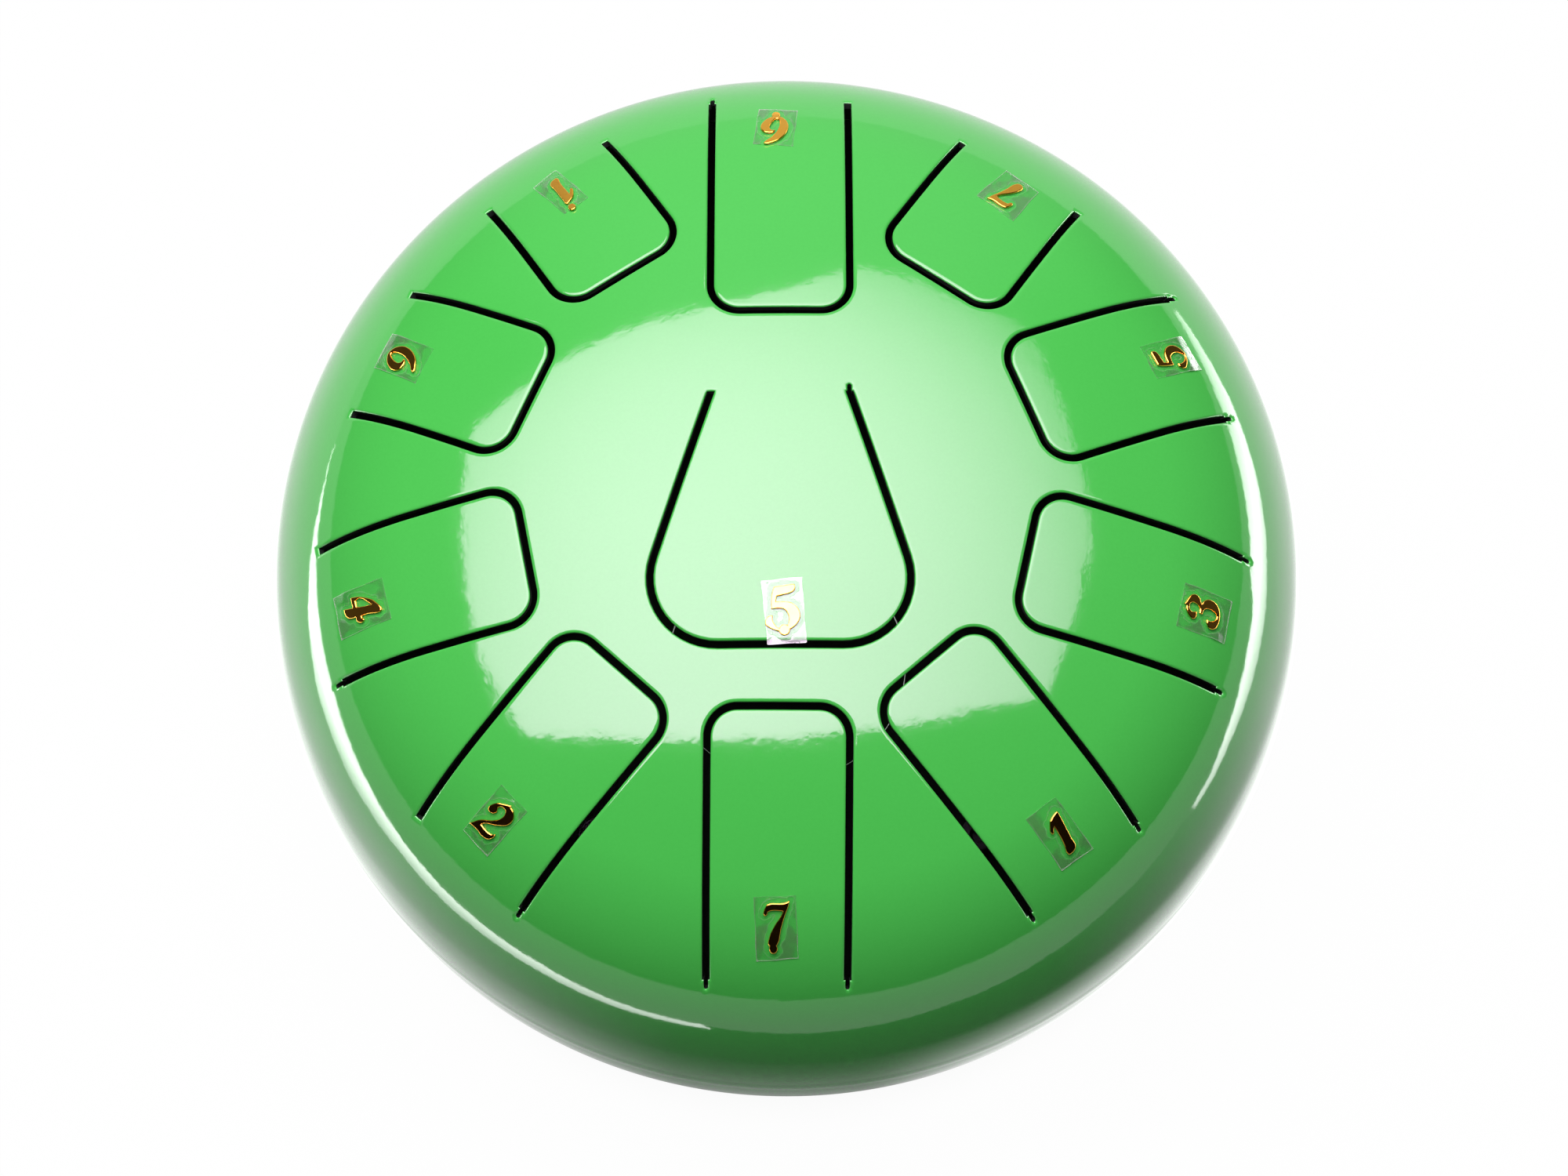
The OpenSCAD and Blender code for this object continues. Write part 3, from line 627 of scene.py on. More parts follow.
class Paint:
    """A material, world or light, and the nodes that make it."""

    def __init__(self, owner):
        owner.use_nodes = True
        self.owner = owner
        self.tree = owner.node_tree
        self.tree.nodes.clear()

    def node(self, kind, settings=None, inputs=None, out=0):
        made = self.tree.nodes.new(kind)
        for key, value in (settings or {}).items():
            if key == "stops":
                ramp = made.color_ramp
                ramp.elements[0].position, ramp.elements[0].color = value[0]
                ramp.elements[1].position, ramp.elements[1].color = value[-1]
                for position, colour in value[1:-1]:
                    ramp.elements.new(position).color = colour
            else:
                setattr(made, key, value)
        for key, value in (inputs or {}).items():
            if isinstance(value, Wire):
                self.tree.links.new(value.socket, made.inputs[key])
            else:
                made.inputs[key].default_value = value
        return Wire(self, made.outputs[out])

    def mix(self, share, a, b):
        return self.node("ShaderNodeMix", {"data_type": "RGBA"}, {0: share, 6: a, 7: b}, 2)

    def place(self):
        return self.node("ShaderNodeTexCoord", out=3)

    def apart(self, vector):
        """A vector's first two parts."""
        split = self.tree.nodes.new("ShaderNodeSeparateXYZ")
        self.tree.links.new(vector.socket, split.inputs[0])
        return Wire(self, split.outputs[0]), Wire(self, split.outputs[1])

    def distance(self, vector):
        return self.node("ShaderNodeVectorMath", {"operation": "LENGTH"}, {0: vector}, 1)

    def unit(self, vector):
        return self.node("ShaderNodeVectorMath", {"operation": "NORMALIZE"}, {0: vector})

    def dot(self, vector, direction):
        return self.node("ShaderNodeVectorMath", {"operation": "DOT_PRODUCT"}, {0: vector, 1: direction}, 1)

    def fact(self, name):
        """A number that the mesh holds at each of its points."""
        return self.node("ShaderNodeAttribute", {"attribute_name": name}, out=2)

    def noise(self, scale, detail=2.0, rough=0.5, at=None, twist=0.0):
        inputs = {"Vector": at or self.place(), "Scale": scale, "Detail": detail}
        inputs |= {"Roughness": rough, "Distortion": twist}
        return self.node("ShaderNodeTexNoise", inputs=inputs)

    def smooth_step(self, value, start, end):
        """0 before the start and 1 past the end, which may lie below the start."""
        smooth = {"interpolation_type": "SMOOTHSTEP"}
        if start < end:
            return self.between(value, start, end, 0.0, 1.0, smooth)
        return self.between(value, end, start, 1.0, 0.0, smooth)

    def between(self, value, start, end, first, last, settings=None):
        """The first number before the start, the last one past the end, and a ramp between them."""
        inputs = {0: value, 1: start, 2: end, 3: first, 4: last}
        return self.node("ShaderNodeMapRange", settings, inputs)

    def bump(self, height, distance, strength=1.0, under=None):
        inputs = {"Strength": strength, "Distance": distance, "Height": height}
        if under:
            inputs["Normal"] = under
        return self.node("ShaderNodeBump", inputs=inputs)

    def finish(self, inputs):
        self.output(self.node("ShaderNodeBsdfPrincipled", inputs=inputs))
        return self.owner

    def output(self, shader, kind="ShaderNodeOutputMaterial"):
        self.tree.links.new(shader.socket, self.tree.nodes.new(kind).inputs[0])


def material(name):
    return Paint(bpy.data.materials.new(name))


def green_lacquer():
    m = material("green_lacquer")
    drift = m.noise(9.0, 2.0)
    fleck = m.noise(1400.0, 2.0, 0.6)
    shade = m.mix(drift, (0.080, 0.575, 0.090, 1), (0.096, 0.615, 0.106, 1))
    colour = m.mix(fleck * 0.4, shade, (0.066, 0.50, 0.075, 1))
    fine_peel = m.noise(640.0, 2.0, 0.5)
    peel = m.noise(330.0, 2.0, 0.5)
    swell = m.noise(110.0, 1.0, 0.5)
    haze = m.noise(40.0, 3.0)
    normal = m.bump(swell, 3.0e-5, under=m.bump(peel, 1.1e-5, under=m.bump(fine_peel, 0.75e-5)))
    return m.finish({"Base Color": colour, "Roughness": 0.05 + haze * 0.03, "Normal": normal, "IOR": 1.5})


def primer_with_painted_shade():
    # Primer of the drum's inside, its colour made near black as painted shade: the inside lies in shade
    m = material("primer_with_painted_shade")
    cloud = m.noise(60.0, 4.0, 0.6)
    grain = m.noise(900.0, 3.0, 0.7)
    colour = m.mix(cloud, (0.0025, 0.005, 0.003, 1), (0.007, 0.011, 0.007, 1))
    return m.finish({
        "Base Color": colour, "Roughness": 0.55 + cloud * 0.2, "Specular IOR Level": 0.12,
        "Normal": m.bump(grain, 6.0e-5),
    })


def black_rubber():
    m = material("black_rubber")
    grain = m.noise(1500.0, 3.0, 0.7)
    dust = m.noise(90.0, 4.0, 0.65)
    colour = m.mix(dust * 0.5, (0.016, 0.016, 0.017, 1), (0.055, 0.054, 0.052, 1))
    return m.finish({"Base Color": colour, "Roughness": 0.62 + grain * 0.2, "Normal": m.bump(grain, 7.0e-5)})


def zinc_steel():
    m = material("zinc_steel")
    spangle = m.noise(260.0, 3.0, 0.6)
    scratch = m.noise(1800.0, 2.0, 0.5, twist=1.5)
    colour = m.mix(spangle, (0.42, 0.43, 0.45, 1), (0.62, 0.62, 0.63, 1))
    return m.finish({
        "Base Color": colour, "Metallic": 1.0, "Roughness": 0.24 + scratch * 0.2,
        "Normal": m.bump(scratch, 1.5e-5),
    })


def steel_in_painted_shade():
    """Steel of the bosses inside the drum, made near black as painted shade for the drum's dark inside."""
    m = material("steel_in_painted_shade")
    cloud = m.noise(300.0, 3.0, 0.6)
    colour = m.mix(cloud, (0.02, 0.02, 0.022, 1), (0.05, 0.05, 0.052, 1))
    return m.finish({
        "Base Color": colour, "Metallic": 0.4, "Roughness": 0.5 + cloud * 0.2,
        "Normal": m.bump(cloud, 3.0e-5),
    })


def gold_foil():
    """Mirror-like foil: dark where it shows the dark room, and gold where it shows lamps or the table."""
    m = material("gold_foil")
    cloud = m.noise(420.0, 3.0, 0.6)
    crease = m.noise(650.0, 2.0, 0.5, twist=0.8)
    colour = m.mix(cloud, (0.98, 0.46, 0.05, 1), (0.98, 0.55, 0.085, 1))
    return m.finish({
        "Base Color": colour, "Metallic": 1.0, "Roughness": 0.07 + cloud * 0.07,
        "Normal": m.bump(crease, 3.0e-5),
    })


def clear_film():
    """Clear film, stuck down flat round the numeral and with air under it farther out, with a pale painted
    highlight along its cut edge.
    """
    m = material("clear_film")
    at = m.node("ShaderNodeUVMap", {"uv_map": "film"})
    wobble = m.noise(0.55, 2.0, 0.5, at=at)
    fine = m.noise(2.6, 3.0, 0.6, at=at)
    patch = m.noise(0.22, 1.0, 0.5, at=at)
    near = m.fact("to_numeral")
    rim = m.fact("to_edge")
    outer = m.fact("outward")
    reach = near + (wobble - 0.5) * 1.8 + (fine - 0.5) * 0.5
    air = m.smooth_step(reach, 1.05, 1.25)
    # Pale ring where the air under the film starts: the real edge of the stuck-down film, lightened as a
    # painted highlight
    wet_edge_and_highlight = m.smooth_step(reach, 0.85, 1.05) - air
    grey = 0.15 + m.smooth_step(patch, 0.40, 0.60) * 0.85
    # Painted highlight: a pale line along the film's cut edge, strongest on its outer side
    painted_edge_highlight = m.smooth_step(rim, 0.28, 0.05) * (0.18 + outer * 0.45) * (0.4 + fine)
    colour = m.mix(air * grey, (0.085, 0.50, 0.10, 1), (0.17, 0.36, 0.15, 1))
    colour = m.mix(wet_edge_and_highlight * 0.6, colour, (0.45, 0.75, 0.42, 1))
    colour = m.mix(painted_edge_highlight, colour, (0.85, 0.95, 0.80, 1))
    blister = m.fact("blister")
    alpha = 0.08 + air * grey * 0.22 + wet_edge_and_highlight * 0.20 + painted_edge_highlight * 0.5 + blister * 0.3
    normal = m.bump(reach, 3.0e-5, 0.5)
    return m.finish({
        "Base Color": colour, "Roughness": 0.06 + fine * 0.06, "Alpha": alpha, "Normal": normal, "IOR": 2.6,
    })


LACQUER = green_lacquer()
PRIMER_WITH_SHADE = primer_with_painted_shade()
RUBBER = black_rubber()
ZINC = zinc_steel()
BOSS_STEEL_IN_SHADE = steel_in_painted_shade()
FOIL = gold_foil()
FILM = clear_film()


# Upper bowl with its eleven slots
tongues = {name: Tongue(*facts) for name, facts in TONGUES.items()}
points = lattice(FLAT_AREA_R - MESH_STEP * 0.6, MESH_STEP)
windows = {name: t.rings(t.slot()) for name, t in tongues.items()}
free = np.ones(len(points), bool)
for loops in windows.values():
    free &= ~inside(points, loops[0][:, :2]) & clear_of(points, loops[0][:, :2], POINT_CLEAR)
rim = arc((0, 0), FLAT_AREA_R, 0, 2 * math.pi, TURN_STEPS)[:-1]
bowl = sheet(list(windows.values()), points[free], rim)
band = bpy.data.meshes.new("upper_band")
turned = turned_band(float(face_at(FLAT_AREA_R)[0]), True)
turned.to_mesh(band)
turned.free()
bowl.from_mesh(band)
bpy.data.meshes.remove(band)
bmesh.ops.remove_doubles(bowl, verts=bowl.verts, dist=1e-3)
bmesh.ops.recalc_face_normals(bowl, faces=bowl.faces)
prime_inside(bowl, True)
upper_bowl = piece("upper_bowl", bowl, [LACQUER, PRIMER_WITH_SHADE])
follow_bowl(upper_bowl)
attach(upper_bowl, "bowls")
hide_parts("top_shell")


# Tongues, each a piece of the sheet up to its join with the bowl
def bend_from(t):
    """Two places on the tongue's middle line, at its join and a bend length in from it, a bend drop under
    the crown.
    """
    start, end = t.turned([[t.join, 0], [t.join - BEND_LENGTH, 0]])
    z = CROWN_Z - BEND_DROP
    return (*(start * MM), z * MM), (*(end * MM), z * MM)


for name, t in tongues.items():
    loops = t.rings(t.edge())
    own = points[inside(points, loops[0][:, :2])]
    own = own[clear_of(own, loops[0][:, :2], POINT_CLEAR)]
    made = sheet([loops], own)
    bmesh.ops.recalc_face_normals(made, faces=made.faces)
    made = piece("sprung_tongue_" + name, made, [LACQUER, PRIMER_WITH_SHADE])
    follow_bowl(made)
    start, end = bend_from(t)
    "tongue_" + name
    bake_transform(made)
    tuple(start)
    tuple(end)
    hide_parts("tongue_" + name)


# Lower bowl with its sound hole, and the ground weld between the bowls
lower = turned_band(math.asin(SOUND_HOLE_R / CROWN_R), False, 300, True)
bmesh.ops.remove_doubles(lower, verts=lower.verts, dist=1e-4)
bmesh.ops.recalc_face_normals(lower, faces=lower.faces)
prime_inside(lower, False)
lower_bowl = piece("lower_bowl", lower, [LACQUER, PRIMER_WITH_SHADE])
follow_bowl(lower_bowl, False)
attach(lower_bowl, "bowls")
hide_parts("bottom_shell")

# The weld is ground nearly flush and lacquered over
bead_mid = LOWER_RIM_Z + SEAM_GAP / 2
bead = [(RIM_R - SHEET, -SEAM_GAP / 2)]
for z in np.linspace(-BEAD_W / 2, BEAD_W / 2, 17):
    past_rim = max(0, abs(z) - SEAM_GAP / 2)
    wall = WALL_X + math.sqrt(WALL_R * WALL_R - past_rim * past_rim)
    bead.append((wall + BEAD_PROUD * (0.5 + 0.5 * math.cos(2 * math.pi * z / BEAD_W)), z))
bead.append((RIM_R - SHEET, SEAM_GAP / 2))
seam = spun("seam_bead", [(r, bead_mid + z) for r, z in bead], LACQUER, steps=TURN_STEPS)
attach(seam, "bowls")
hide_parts("seam_weld")


# Feet, with what holds them
FOOT_PLACES = [
    (FOOT_RING_R * math.cos(a), FOOT_RING_R * math.sin(a), 0)
    for a in (2 * math.pi * (k + 0.5) / FOOT_COUNT for k in range(FOOT_COUNT))
]
RECESS_H = 4.6
foot_top = FLOOR_GAP + CROWN_R * (1 - math.cos(math.asin(FOOT_RING_R / CROWN_R)))
foot_section = [(5, 0), (9, 0), (9.4, 3.2), (10.5, foot_top - 0.4)]
foot_section += [(2.2, foot_top - 0.4), (2.2, RECESS_H), (5, RECESS_H)]
foot = rounded(foot_section, [0.5, 1.1, 0.8, 0.5, 0, 0, 0.3])
feet = spun("turned_feet", foot, RUBBER, FOOT_PLACES)
for v in feet.data.vertices:
    x, y, z = v.co / MM
    if z > foot_top - 1.2:
        v.co.z = (FLOOR_GAP + CROWN_R - math.sqrt((CROWN_R + 0.05) ** 2 - x * x - y * y)) * MM
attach(feet, "bowls")
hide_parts("rubber_feet")

WASHER_T = 0.8
washer_top = RECESS_H - 0.05
washer = rounded(
    [(2.25, washer_top - WASHER_T), (4.5, washer_top - WASHER_T), (4.5, washer_top), (2.25, washer_top)],
    [0.1, 0.15, 0.15, 0.1],
)
washers = spun("plain_washers", washer, ZINC, FOOT_PLACES, 48)
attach(washers, "bowls")
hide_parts("foot_washers")

BOSS_H = 7.0
boss_base = foot_top + SHEET + 0.1
boss = rounded(
    [(2.05, boss_base), (4.5, boss_base + 0.5), (4.5, boss_base + BOSS_H), (2.05, boss_base + BOSS_H)],
    [0, 0, 0.5, 0.4],
)
bosses = spun("threaded_bosses", boss, BOSS_STEEL_IN_SHADE, FOOT_PLACES, 48)
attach(bosses, "bowls")
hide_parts("foot_bosses")

SCREW_BASE = RECESS_H - WASHER_T - 0.1
HEAD_H = 2.4
HEAD_R = 3.8
SCREW_R = 2.0
SCREW_L = 15.0
THREAD_STEP = 0.7
thread = [(0, SCREW_BASE - HEAD_H), (HEAD_R - 1.4, SCREW_BASE - HEAD_H)]
thread += [(HEAD_R - 0.5, SCREW_BASE - HEAD_H * 0.8), (HEAD_R, SCREW_BASE - HEAD_H * 0.35)]
thread += [(HEAD_R, SCREW_BASE), (SCREW_R, SCREW_BASE), (SCREW_R, SCREW_BASE + 4)]
for k in range(14):
    z = SCREW_BASE + 4 + k * THREAD_STEP
    thread += [(SCREW_R - 0.28, z + THREAD_STEP / 2), (SCREW_R, z + THREAD_STEP)]
thread += [(SCREW_R - 0.6, SCREW_BASE + SCREW_L), (0, SCREW_BASE + SCREW_L)]
screws = spun("foot_bolts", thread, ZINC, FOOT_PLACES, 40, 30)
cross = bmesh.new()
for x, y, _ in FOOT_PLACES:
    for size in ((4.2, 0.8, 2.4), (0.8, 4.2, 2.4)):
        solid = bmesh.ops.create_cube(cross, size=1)["verts"]
        bmesh.ops.scale(cross, vec=size, verts=solid)
        bmesh.ops.translate(cross, vec=(x, y, SCREW_BASE - HEAD_H), verts=solid)
cutter = piece("cross_cutter", cross, [ZINC])
recess = screws.modifiers.new("recess", "BOOLEAN")
recess.object = cutter
recess.operation = "DIFFERENCE"
recess.solver = "EXACT"
recess.use_self = True
graph = bpy.context.evaluated_depsgraph_get()
cut_mesh = bpy.data.meshes.new_from_object(screws.evaluated_get(graph))
screws.modifiers.clear()
screws.data = cut_mesh
bpy.data.objects.remove(cutter)
screws.data.materials.clear()
# The bolt ends inside the drum take the boss steel, near black as painted shade
for finish in (ZINC, BOSS_STEEL_IN_SHADE):
    screws.data.materials.append(finish)
for polygon in screws.data.polygons:
    polygon.material_index = int(polygon.center.z > boss_base * MM)
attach(screws, "bowls")
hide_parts("foot_screws")


# Clear films and raised numerals
def film_frame(name):
    """Turns film coordinates, outward along the film and across it, into plan coordinates."""
    t = tongues[name]
    if name == "low5":
        return lambda uv: np.column_stack([uv[:, 1], -uv[:, 0]]) + PATTERN
    return t.turned


def numeral_place(name, points):
    """Takes a numeral's points, flat in millimetres, to plan coordinates at its place on the tongue."""
    _, along, across, share, turn, _ = NUMERALS[name]
    frame_of = film_frame(name)
    flat = points[:, :2] * share @ turning(math.radians(turn))
    middle = frame_of(np.array([[along, across]]))[0]
    up = frame_of(np.array([[along - 1, across]]))[0] - middle
    right = np.array([up[1], -up[0]])
    return middle + flat[:, :1] * right + flat[:, 1:2] * up


def smooth_path(outline):
    """A closed path through an outline's knots, smooth but at its corners."""
    spots = np.array([spot[:2] for spot in outline])
    cornered = [len(spot) > 2 for spot in outline]
    ahead = np.roll(spots, -1, 0) - spots
    length = np.linalg.norm(ahead, axis=1)
    ahead /= length[:, None]
    through = ahead * np.roll(length, 1)[:, None] + np.roll(ahead, 1, 0) * length[:, None]
    through /= np.linalg.norm(through, axis=1)[:, None]
    path = []
    for k, a in enumerate(spots):
        j = (k + 1) % len(spots)
        b, reach = spots[j], length[k] / 3
        leave = a + reach * (ahead[k] if cornered[k] else through[k])
        arrive = b - reach * (ahead[k] if cornered[j] else through[j])
        count = max(2, round(length[k] / NUMERAL_EDGE_STEP))
        t = (np.arange(count) / count)[:, None]
        early = (1 - t) ** 3 * a + 3 * (1 - t) ** 2 * t * leave
        late = 3 * (1 - t) * t * t * arrive + t ** 3 * b
        path.append(early + late)
    return np.vstack(path)


def depth_in(points, shapes):
    """How far points lie inside shapes, each an outer loop with its holes, and 0 outside them."""
    depth = np.zeros(len(points))
    for loops in shapes:
        found = inside(points, loops[0])
        for hole in loops[1:]:
            found &= ~inside(points, hole)
        near = np.minimum.reduce([near_path(points, loop) for loop in loops])
        depth = np.maximum(depth, np.where(found, near, 0.0))
    return depth


def numeral_shapes(name):
    """Closed loops of the numeral, and of its dot, in its own plane."""
    outlines, _, _, _, _, dot = NUMERALS[name]
    shapes = [[smooth_path(o) for o in outlines]]
    if dot:
        shapes.append([arc(dot, DOT_R, 0, 2 * math.pi, 40)[:-1]])
    return shapes


def numeral_solid(shapes, relief):
    """Points and triangles of the numeral, and its height there: rounded at the edges and flat on top."""
    plan, fixed, rows = [], [], []
    for loops in shapes:
        for loop in loops:
            n, start = len(loop), len(plan)
            plan += list(loop)
            fixed += [(start + k, start + (k + 1) % n) for k in range(n)]
            along = np.roll(loop, -1, 0) - np.roll(loop, 1, 0)
            side = np.column_stack([-along[:, 1], along[:, 0]]) / np.linalg.norm(along, axis=1)[:, None]
            for d in NUMERAL_ROWS:
                for way in (1, -1):
                    row = loop + way * d * side
                    rows.append(row[depth_in(row, [loops]) > d * 0.94])
    low, high = np.min(plan, axis=0), np.max(plan, axis=0)
    grid = square_grid(low, high, NUMERAL_STEP)
    rows = np.vstack(rows + [grid[depth_in(grid, shapes) > NUMERAL_FLAT]])
    corners = [Vector(p) for p in np.vstack([plan, rows])]
    found, _, triangles, _, _, _ = delaunay_2d_cdt(corners, fixed, [], 0, 1e-4)
    found, triangles = np.array(found), np.array(triangles)
    triangles = triangles[depth_in(found[triangles].mean(1), shapes) > 0]
    depth = depth_in(found, shapes)
    depth[depth < 1e-3] = 0
    short = 1 - np.minimum(depth / (NUMERAL_ROUND * relief), 1)
    return found, triangles, NUMERAL_FOOT + NUMERAL_RISE * relief * np.sqrt(1 - short * short)


def near_path(points, path):
    """Shortest distance from each point to a closed path."""
    best = np.full(len(points), 1e9)
    for a, b in zip(path, np.roll(path, -1, 0)):
        ab = b - a
        t = np.clip(((points - a) @ ab) / max(ab @ ab, 1e-12), 0, 1)
        best = np.minimum(best, np.linalg.norm(points - a - t[:, None] * ab, axis=1))
    return best


def two_sided(place, plan, triangles, upper, under):
    """A thin solid over the plan: its two faces at their heights over the bowl, and its edges."""
    bm = bmesh.new()
    placed = place(plan)
    over = laid(bm, placed, upper)
    below = laid(bm, placed, under)
    seen = {(a, b) for t in triangles.tolist() for a, b in zip(t, t[1:] + t[:1])}
    for a, b, c in triangles:
        bm.faces.new((over[a], over[b], over[c]))
        bm.faces.new((below[c], below[b], below[a]))
    for a, b in seen:
        if (b, a) not in seen:
            bm.faces.new((over[a], below[a], below[b], over[b]))
    drop_loose(bm)
    bmesh.ops.recalc_face_normals(bm, faces=bm.faces)
    return bm


for name, t in tongues.items():
    start, end = bend_from(t)
    shapes = numeral_shapes(name)
    _, along, across, share, turn, _ = NUMERALS[name]

    # Film: a hand-cut piece with slightly uneven edges, raised a little round the numeral
    corners = np.array(FILMS[name])
    edge = walk(np.vstack([corners, corners[:1]]), FILM_EDGE_STEP)[:-1]
    wave = np.sin(np.arange(len(edge)) * 0.33 + len(name) + t.angle) * FILM_WAVE
    edge = edge + np.column_stack([wave, wave[::-1]])
    low, high = corners.min(0), corners.max(0)
    grid = square_grid(low, high, FILM_STEP)
    grid = grid[inside(grid, edge) & clear_of(grid, edge, FILM_CLEAR)]
    plan = np.vstack([edge, grid])
    triangles = triangulated(plan, [(k, (k + 1) % len(edge)) for k in range(len(edge))])
    triangles = triangles[inside(plan[triangles].mean(1), edge)]
    own = (plan - [along, across])[:, ::-1] * [1, -1]
    own = own @ turning(-math.radians(turn)) / share
    distance = np.minimum.reduce([near_path(own, loops[0]) * ~inside(own, loops[0]) for loops in shapes])
    lift = FILM_TENT * np.exp(-(distance / TENT_REACH) ** 2)
    blister = np.zeros(len(plan))
    if name in BLISTERS:
        u, v, half_u, half_v, height = BLISTERS[name]
        blister = np.exp(-((plan[:, 0] - u) / half_u) ** 2 - ((plan[:, 1] - v) / half_v) ** 2)
        lift = np.maximum(lift, height * blister)
    film = two_sided(film_frame(name), plan, triangles, FILM_RAISED + FILM_THICK + lift, FILM_RAISED + lift)
    film = piece("film_piece_" + name, film, [FILM])
    # The outward share sets how strong the painted edge highlight is; on low5 only the outer part has it,
    # growing towards one side
    outward = (plan[:, 0] - low[0]) / (high[0] - low[0])
    if name == "low5":
        outward = np.clip(outward * 1.6 - 0.9, 0, 1) * (plan[:, 1] - low[1]) / (high[1] - low[1])
    facts = {"to_numeral": distance, "to_edge": near_path(plan, edge)}
    facts |= {"outward": outward, "blister": blister}
    for label, values in facts.items():
        attribute = film.data.attributes.new(label, "FLOAT", "POINT")
        attribute.data.foreach_set("value", np.concatenate([values, values]).astype(np.float32))
    layer = film.data.uv_layers.new(name="film")
    # Each film takes its creases from a place of its own in the noise
    flat = np.concatenate([plan, plan]) + [0, t.angle * 40]
    layer.data.foreach_set("uv", flat[corner_points(film.data)].astype(np.float32).ravel())
    follow_bowl(film, heights=(FILM_RAISED, FILM_RAISED + FILM_THICK))
    "tongue_" + name
    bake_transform(film)
    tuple(start)
    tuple(end)
    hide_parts("film_" + name)

    # Numeral: raised foil, rounded at its edges
    plan, triangles, rise = numeral_solid(shapes, LOW5_RELIEF if name == "low5" else 1.0)
    base = FILM_RAISED + FILM_THICK + FILM_TENT - NUMERAL_SUNK
    foot = np.full(len(plan), base)
    solid = two_sided(lambda flat: numeral_place(name, flat), plan, triangles, base + rise, foot)
    numeral = piece("raised_numeral_" + name, solid, [FOIL], 50)
    "tongue_" + name
    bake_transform(numeral)
    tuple(start)
    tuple(end)
    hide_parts("numeral_" + name)


# Floor, world, lights and camera
SOFTBOX_GLOW = 13.6
PATCH_GLOW = 13.5


def rays(paint, *kinds):
    """1 for rays of these kinds, and 0 for all others."""
    path = paint.tree.nodes.new("ShaderNodeLightPath")
    return sum((Wire(paint, path.outputs[kind]) for kind in kinds[1:]), Wire(paint, path.outputs[kinds[0]]))


def floor_paint():
    """White to the camera and in reflections, grey in the light it throws back, with its shadow kept and a
    near-black painted shadow round the drum's axis.
    """
    m = material("white_floor")
    seen = rays(m, "Is Camera Ray")
    mirrored = rays(m, "Is Glossy Ray", "Is Transmission Ray")
    at = m.place()
    # Painted shadow: near black close to the drum's axis, fading to the plain floor by 125 mm out
    outside = m.smooth_step(m.distance(at), 0.03, 0.125)
    cloud = m.noise(3.0, 3.0)
    tone = m.mix(cloud, (0.36, 0.36, 0.36, 1), (0.40, 0.40, 0.40, 1))
    tone = m.mix(seen, tone, (0.9, 0.9, 0.9, 1))
    tone = m.mix(outside, (0.02, 0.02, 0.02, 1), tone)
    plain = m.node("ShaderNodeBsdfDiffuse", inputs={"Color": tone})
    white = m.node("ShaderNodeEmission", inputs={"Color": (1, 1, 1, 1), "Strength": 1.0})
    share = (seen * 0.985 + mirrored) * outside
    top_side = m.node("ShaderNodeMixShader", inputs={0: share, 1: plain, 2: white})
    from_below = m.node("ShaderNodeNewGeometry", out=6)
    clear = m.node("ShaderNodeBsdfTransparent")
    m.output(m.node("ShaderNodeMixShader", inputs={0: from_below, 1: top_side, 2: clear}))
    return m.owner


bm = bmesh.new()
bmesh.ops.create_grid(bm, x_segments=1, y_segments=1, size=6000)
floor = piece("floor", bm, [floor_paint()])

world = bpy.data.worlds.new("studio")
bpy.context.scene.world = world
w = Paint(world)
shown = rays(w, "Is Camera Ray", "Is Glossy Ray", "Is Transmission Ray")
ambient = w.node("ShaderNodeBackground", inputs={"Color": (0.95, 0.98, 1.0, 1), "Strength": 0.1})
white = w.node("ShaderNodeBackground", inputs={"Color": (1, 1, 1, 1), "Strength": 1.0})
w.output(w.node("ShaderNodeMixShader", inputs={0: shown, 1: ambient, 2: white}), "ShaderNodeOutputWorld")

# The main light hangs over the back of the table, a little to the left
light = bpy.data.lights.new("overhead_light", "AREA")
light.shape = "RECTANGLE"
light.size = 1.5
light.size_y = 1.3
light.energy = 6.8 * math.pi * light.size * light.size_y
overhead = bpy.data.objects.new("overhead_light", light)
bpy.context.scene.collection.objects.link(overhead)
overhead.location = (-0.22, 0.60, 1.85)
overhead.rotation_mode = "QUATERNION"
overhead.rotation_quaternion = (Vector((0, 0, 0.1)) - overhead.location).to_track_quat("-Z", "Y")
overhead.visible_camera = overhead.visible_glossy = False


def only_reflected(name, outline, z, brightness, tint=(1, 1, 1, 1)):
    """A flat glowing panel of the studio, as an outline at a height."""
    bm = bmesh.new()
    bm.faces.new([bm.verts.new((x, y, z)) for x, y in outline])
    reflected(name, bm, brightness, tint)


def reflected(name, bm, brightness, tint=(1, 1, 1, 1)):
    """Makes a mesh glow, so that it shows in shiny pieces and nowhere else."""
    m = material(name)
    m.output(m.node("ShaderNodeEmission", inputs={"Color": tint, "Strength": brightness(m)}))
    made = piece(name, bm, [m.owner])
    made.visible_camera = made.visible_diffuse = made.visible_shadow = made.visible_transmission = False
    made.visible_volume_scatter = False


def softbox_glow(m):
    """Brightest over the left of the drum's front."""
    x, y = m.apart(m.place())
    side = x + 0.2
    far = m.node("ShaderNodeMath", {"operation": "MAXIMUM"}, {0: y - 0.1, 1: 0.0})
    return SOFTBOX_GLOW - side * side * 8 - far * far * 6.5


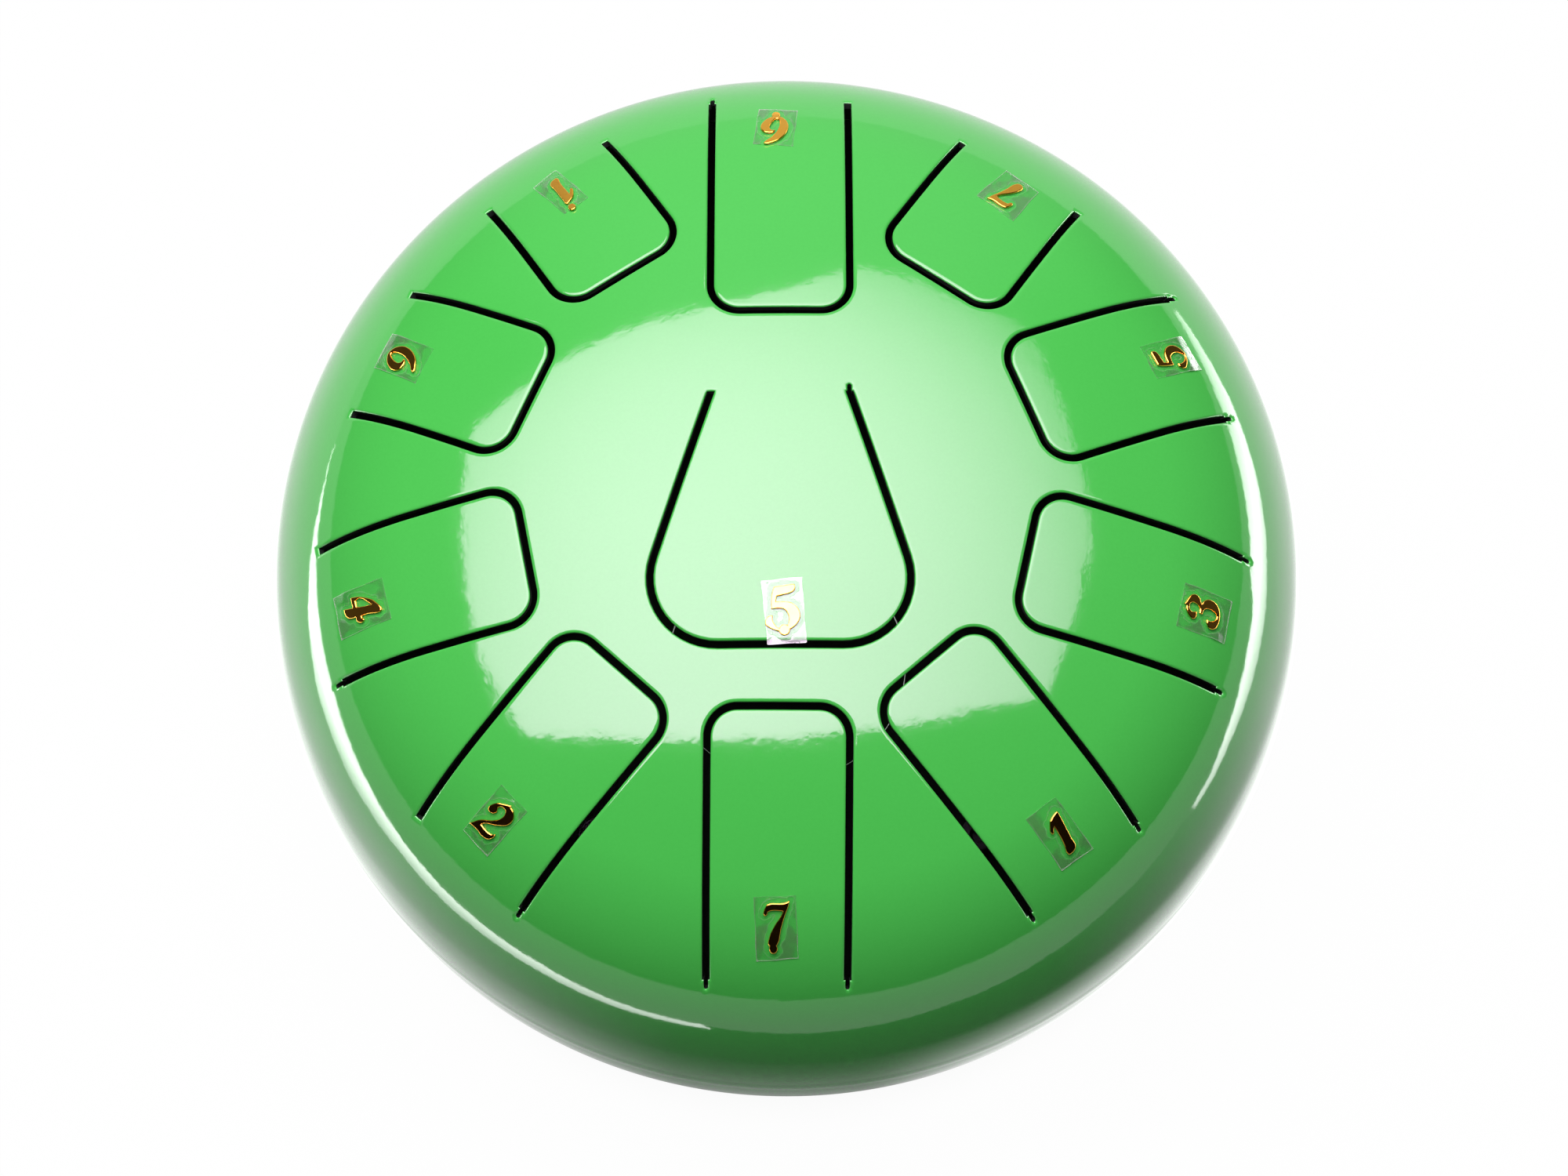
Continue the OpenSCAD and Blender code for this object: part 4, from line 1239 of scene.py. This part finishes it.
SOFTBOX = [
    (-755, -183), (-817, -59), (-868, 127), (-892, 290), (-925, 573), (-912, 659), (-756, 749),
    (-623, 829), (-510, 858), (-392, 897), (-233, 921), (-112, 961), (16, 1010), (110, 1075), (205, 1134),
    (403, 1085), (545, 1020), (693, 1015), (738, 923), (794, 556), (811, 469), (822, 273), (725, -20),
    (672, -165), (273, -246), (-6, -284), (-288, -283), (-683, -269),
]
only_reflected("softbox", SOFTBOX, CROWN_Z + 1000, softbox_glow, (1, 0.68, 1, 1))


def table_glow(m):
    """The table as the lacquer shows it: dark in front, bright at the sides and close to the drum."""
    at = m.place()
    facing = m.unit(at)
    front = m.dot(facing, (0.2, -0.98, 0))
    stops = [(0, 0.55), (0.25, 0.8), (0.5, 0.97), (0.66, 0.9), (0.85, 0.36), (0.95, 0.08), (1, 0.06)]
    ramp = m.node(
        "ShaderNodeValToRGB", {"stops": [(p, (v, v, v, 1)) for p, v in stops]}, {0: front * 0.5 + 0.5},
    )
    right = m.smooth_step(m.dot(facing, (0.77, -0.64, 0)), 0.75, 1.0)
    away = m.distance(at)
    close = m.smooth_step(away, 0.2, 0.13)
    farther = m.smooth_step(away, 0.17, 0.27)
    return ramp * 1.5 * (1.0 + farther * 0.2) + close * (0.25 + right * 0.9)


TABLE_LEFT = [
    (-75, -358), (-229, -315), (-358, -207), (-438, -151), (-489, -113), (-544, -67), (-568, -20),
    (-600, 95), (-640, 182), (-660, 300),
]
TABLE_BACK = [(-700, 420), (-900, 1500), (-1200, 3000), (1500, 3000), (1200, 1200)]
TABLE_RIGHT = [
    (980, 640), (1000, 400), (900, 150), (660, 46), (630, -22), (572, -70), (512, -118), (437, -150),
    (407, -181),
]
TABLE = TABLE_LEFT + TABLE_BACK + TABLE_RIGHT + [(300, -270), (150, -340)]
only_reflected("table_glow", TABLE, 1, table_glow)


def room_glow(m):
    """The room above the table: dim at the back, dark elsewhere."""
    level = m.node("ShaderNodeVectorMath", {"operation": "MULTIPLY"}, {0: m.place(), 1: (1, 1, 0)})
    behind = m.dot(m.unit(level), (0.0, 1.0, 0))
    front = m.smooth_step(behind, 0.1, -0.6)
    return 0.05 + m.smooth_step(behind, 0.72, 1.0) * 0.62 - front * 0.045


bm = bmesh.new()
bmesh.ops.create_uvsphere(bm, u_segments=48, v_segments=24, radius=2900)
everything = bm.verts[:] + bm.edges[:] + bm.faces[:]
bmesh.ops.bisect_plane(bm, geom=everything, plane_co=(0, 0, 1), plane_no=(0, 0, 1), clear_inner=True)
reflected("room_glow", bm, room_glow)


LEFT_PATCH = [
    (-60, -333), (-190, -262), (-279, -161), (-290, -99), (-324, -40), (-353, -12), (-448, 71),
    (-545, 150), (-612, 225), (-648, 310),
] + TABLE_LEFT[::-1]
RIGHT_PATCH = [
    (363, -162), (376, -129), (390, -92), (388, -48), (386, -13), (386, 27), (396, 63), (401, 100),
    (405, 137), (425, 190), (444, 244), (481, 313), (500, 390), (530, 480), (700, 640),
] + TABLE_RIGHT


def patch_glow(near, far, faint):
    """A bright patch of the table: faint at the drum's side, full at a distance, fading towards the back."""
    def brightness(m):
        at = m.place()
        _, y = m.apart(at)
        away = m.between(m.distance(at), near, far, faint, PATCH_GLOW)
        return away * m.between(y, 0.15, 0.6, 1.0, 0.4)
    return brightness


only_reflected("left_patch", LEFT_PATCH, 3, patch_glow(0.31, 0.41, 4.0))
only_reflected("right_patch", RIGHT_PATCH, 3, patch_glow(0.35, 0.52, 3.5))

ELEVATION = 1.29159
ROLL = -0.00108
camera = bpy.data.cameras.new("camera")
camera.sensor_width = 36
camera.lens = 115.37
camera.clip_start = 0.05
camera.clip_end = 50
holder = bpy.data.objects.new("camera", camera)
bpy.context.scene.collection.objects.link(holder)
back = Vector((0, -math.cos(ELEVATION), math.sin(ELEVATION)))
right = Vector((1, 0, 0))
up = Vector((0, math.sin(ELEVATION), math.cos(ELEVATION)))
side = right * math.cos(ROLL) + up * math.sin(ROLL)
top = up * math.cos(ROLL) - right * math.sin(ROLL)
turn = Matrix((side, top, back)).transposed().to_4x4()
holder.matrix_world = Matrix.Translation(Vector((-0.65, -346.56, 1126.49 + CROWN_Z)) * MM) @ turn
bpy.context.scene.camera = holder

bpy.context.scene.view_settings.view_transform = "Standard"
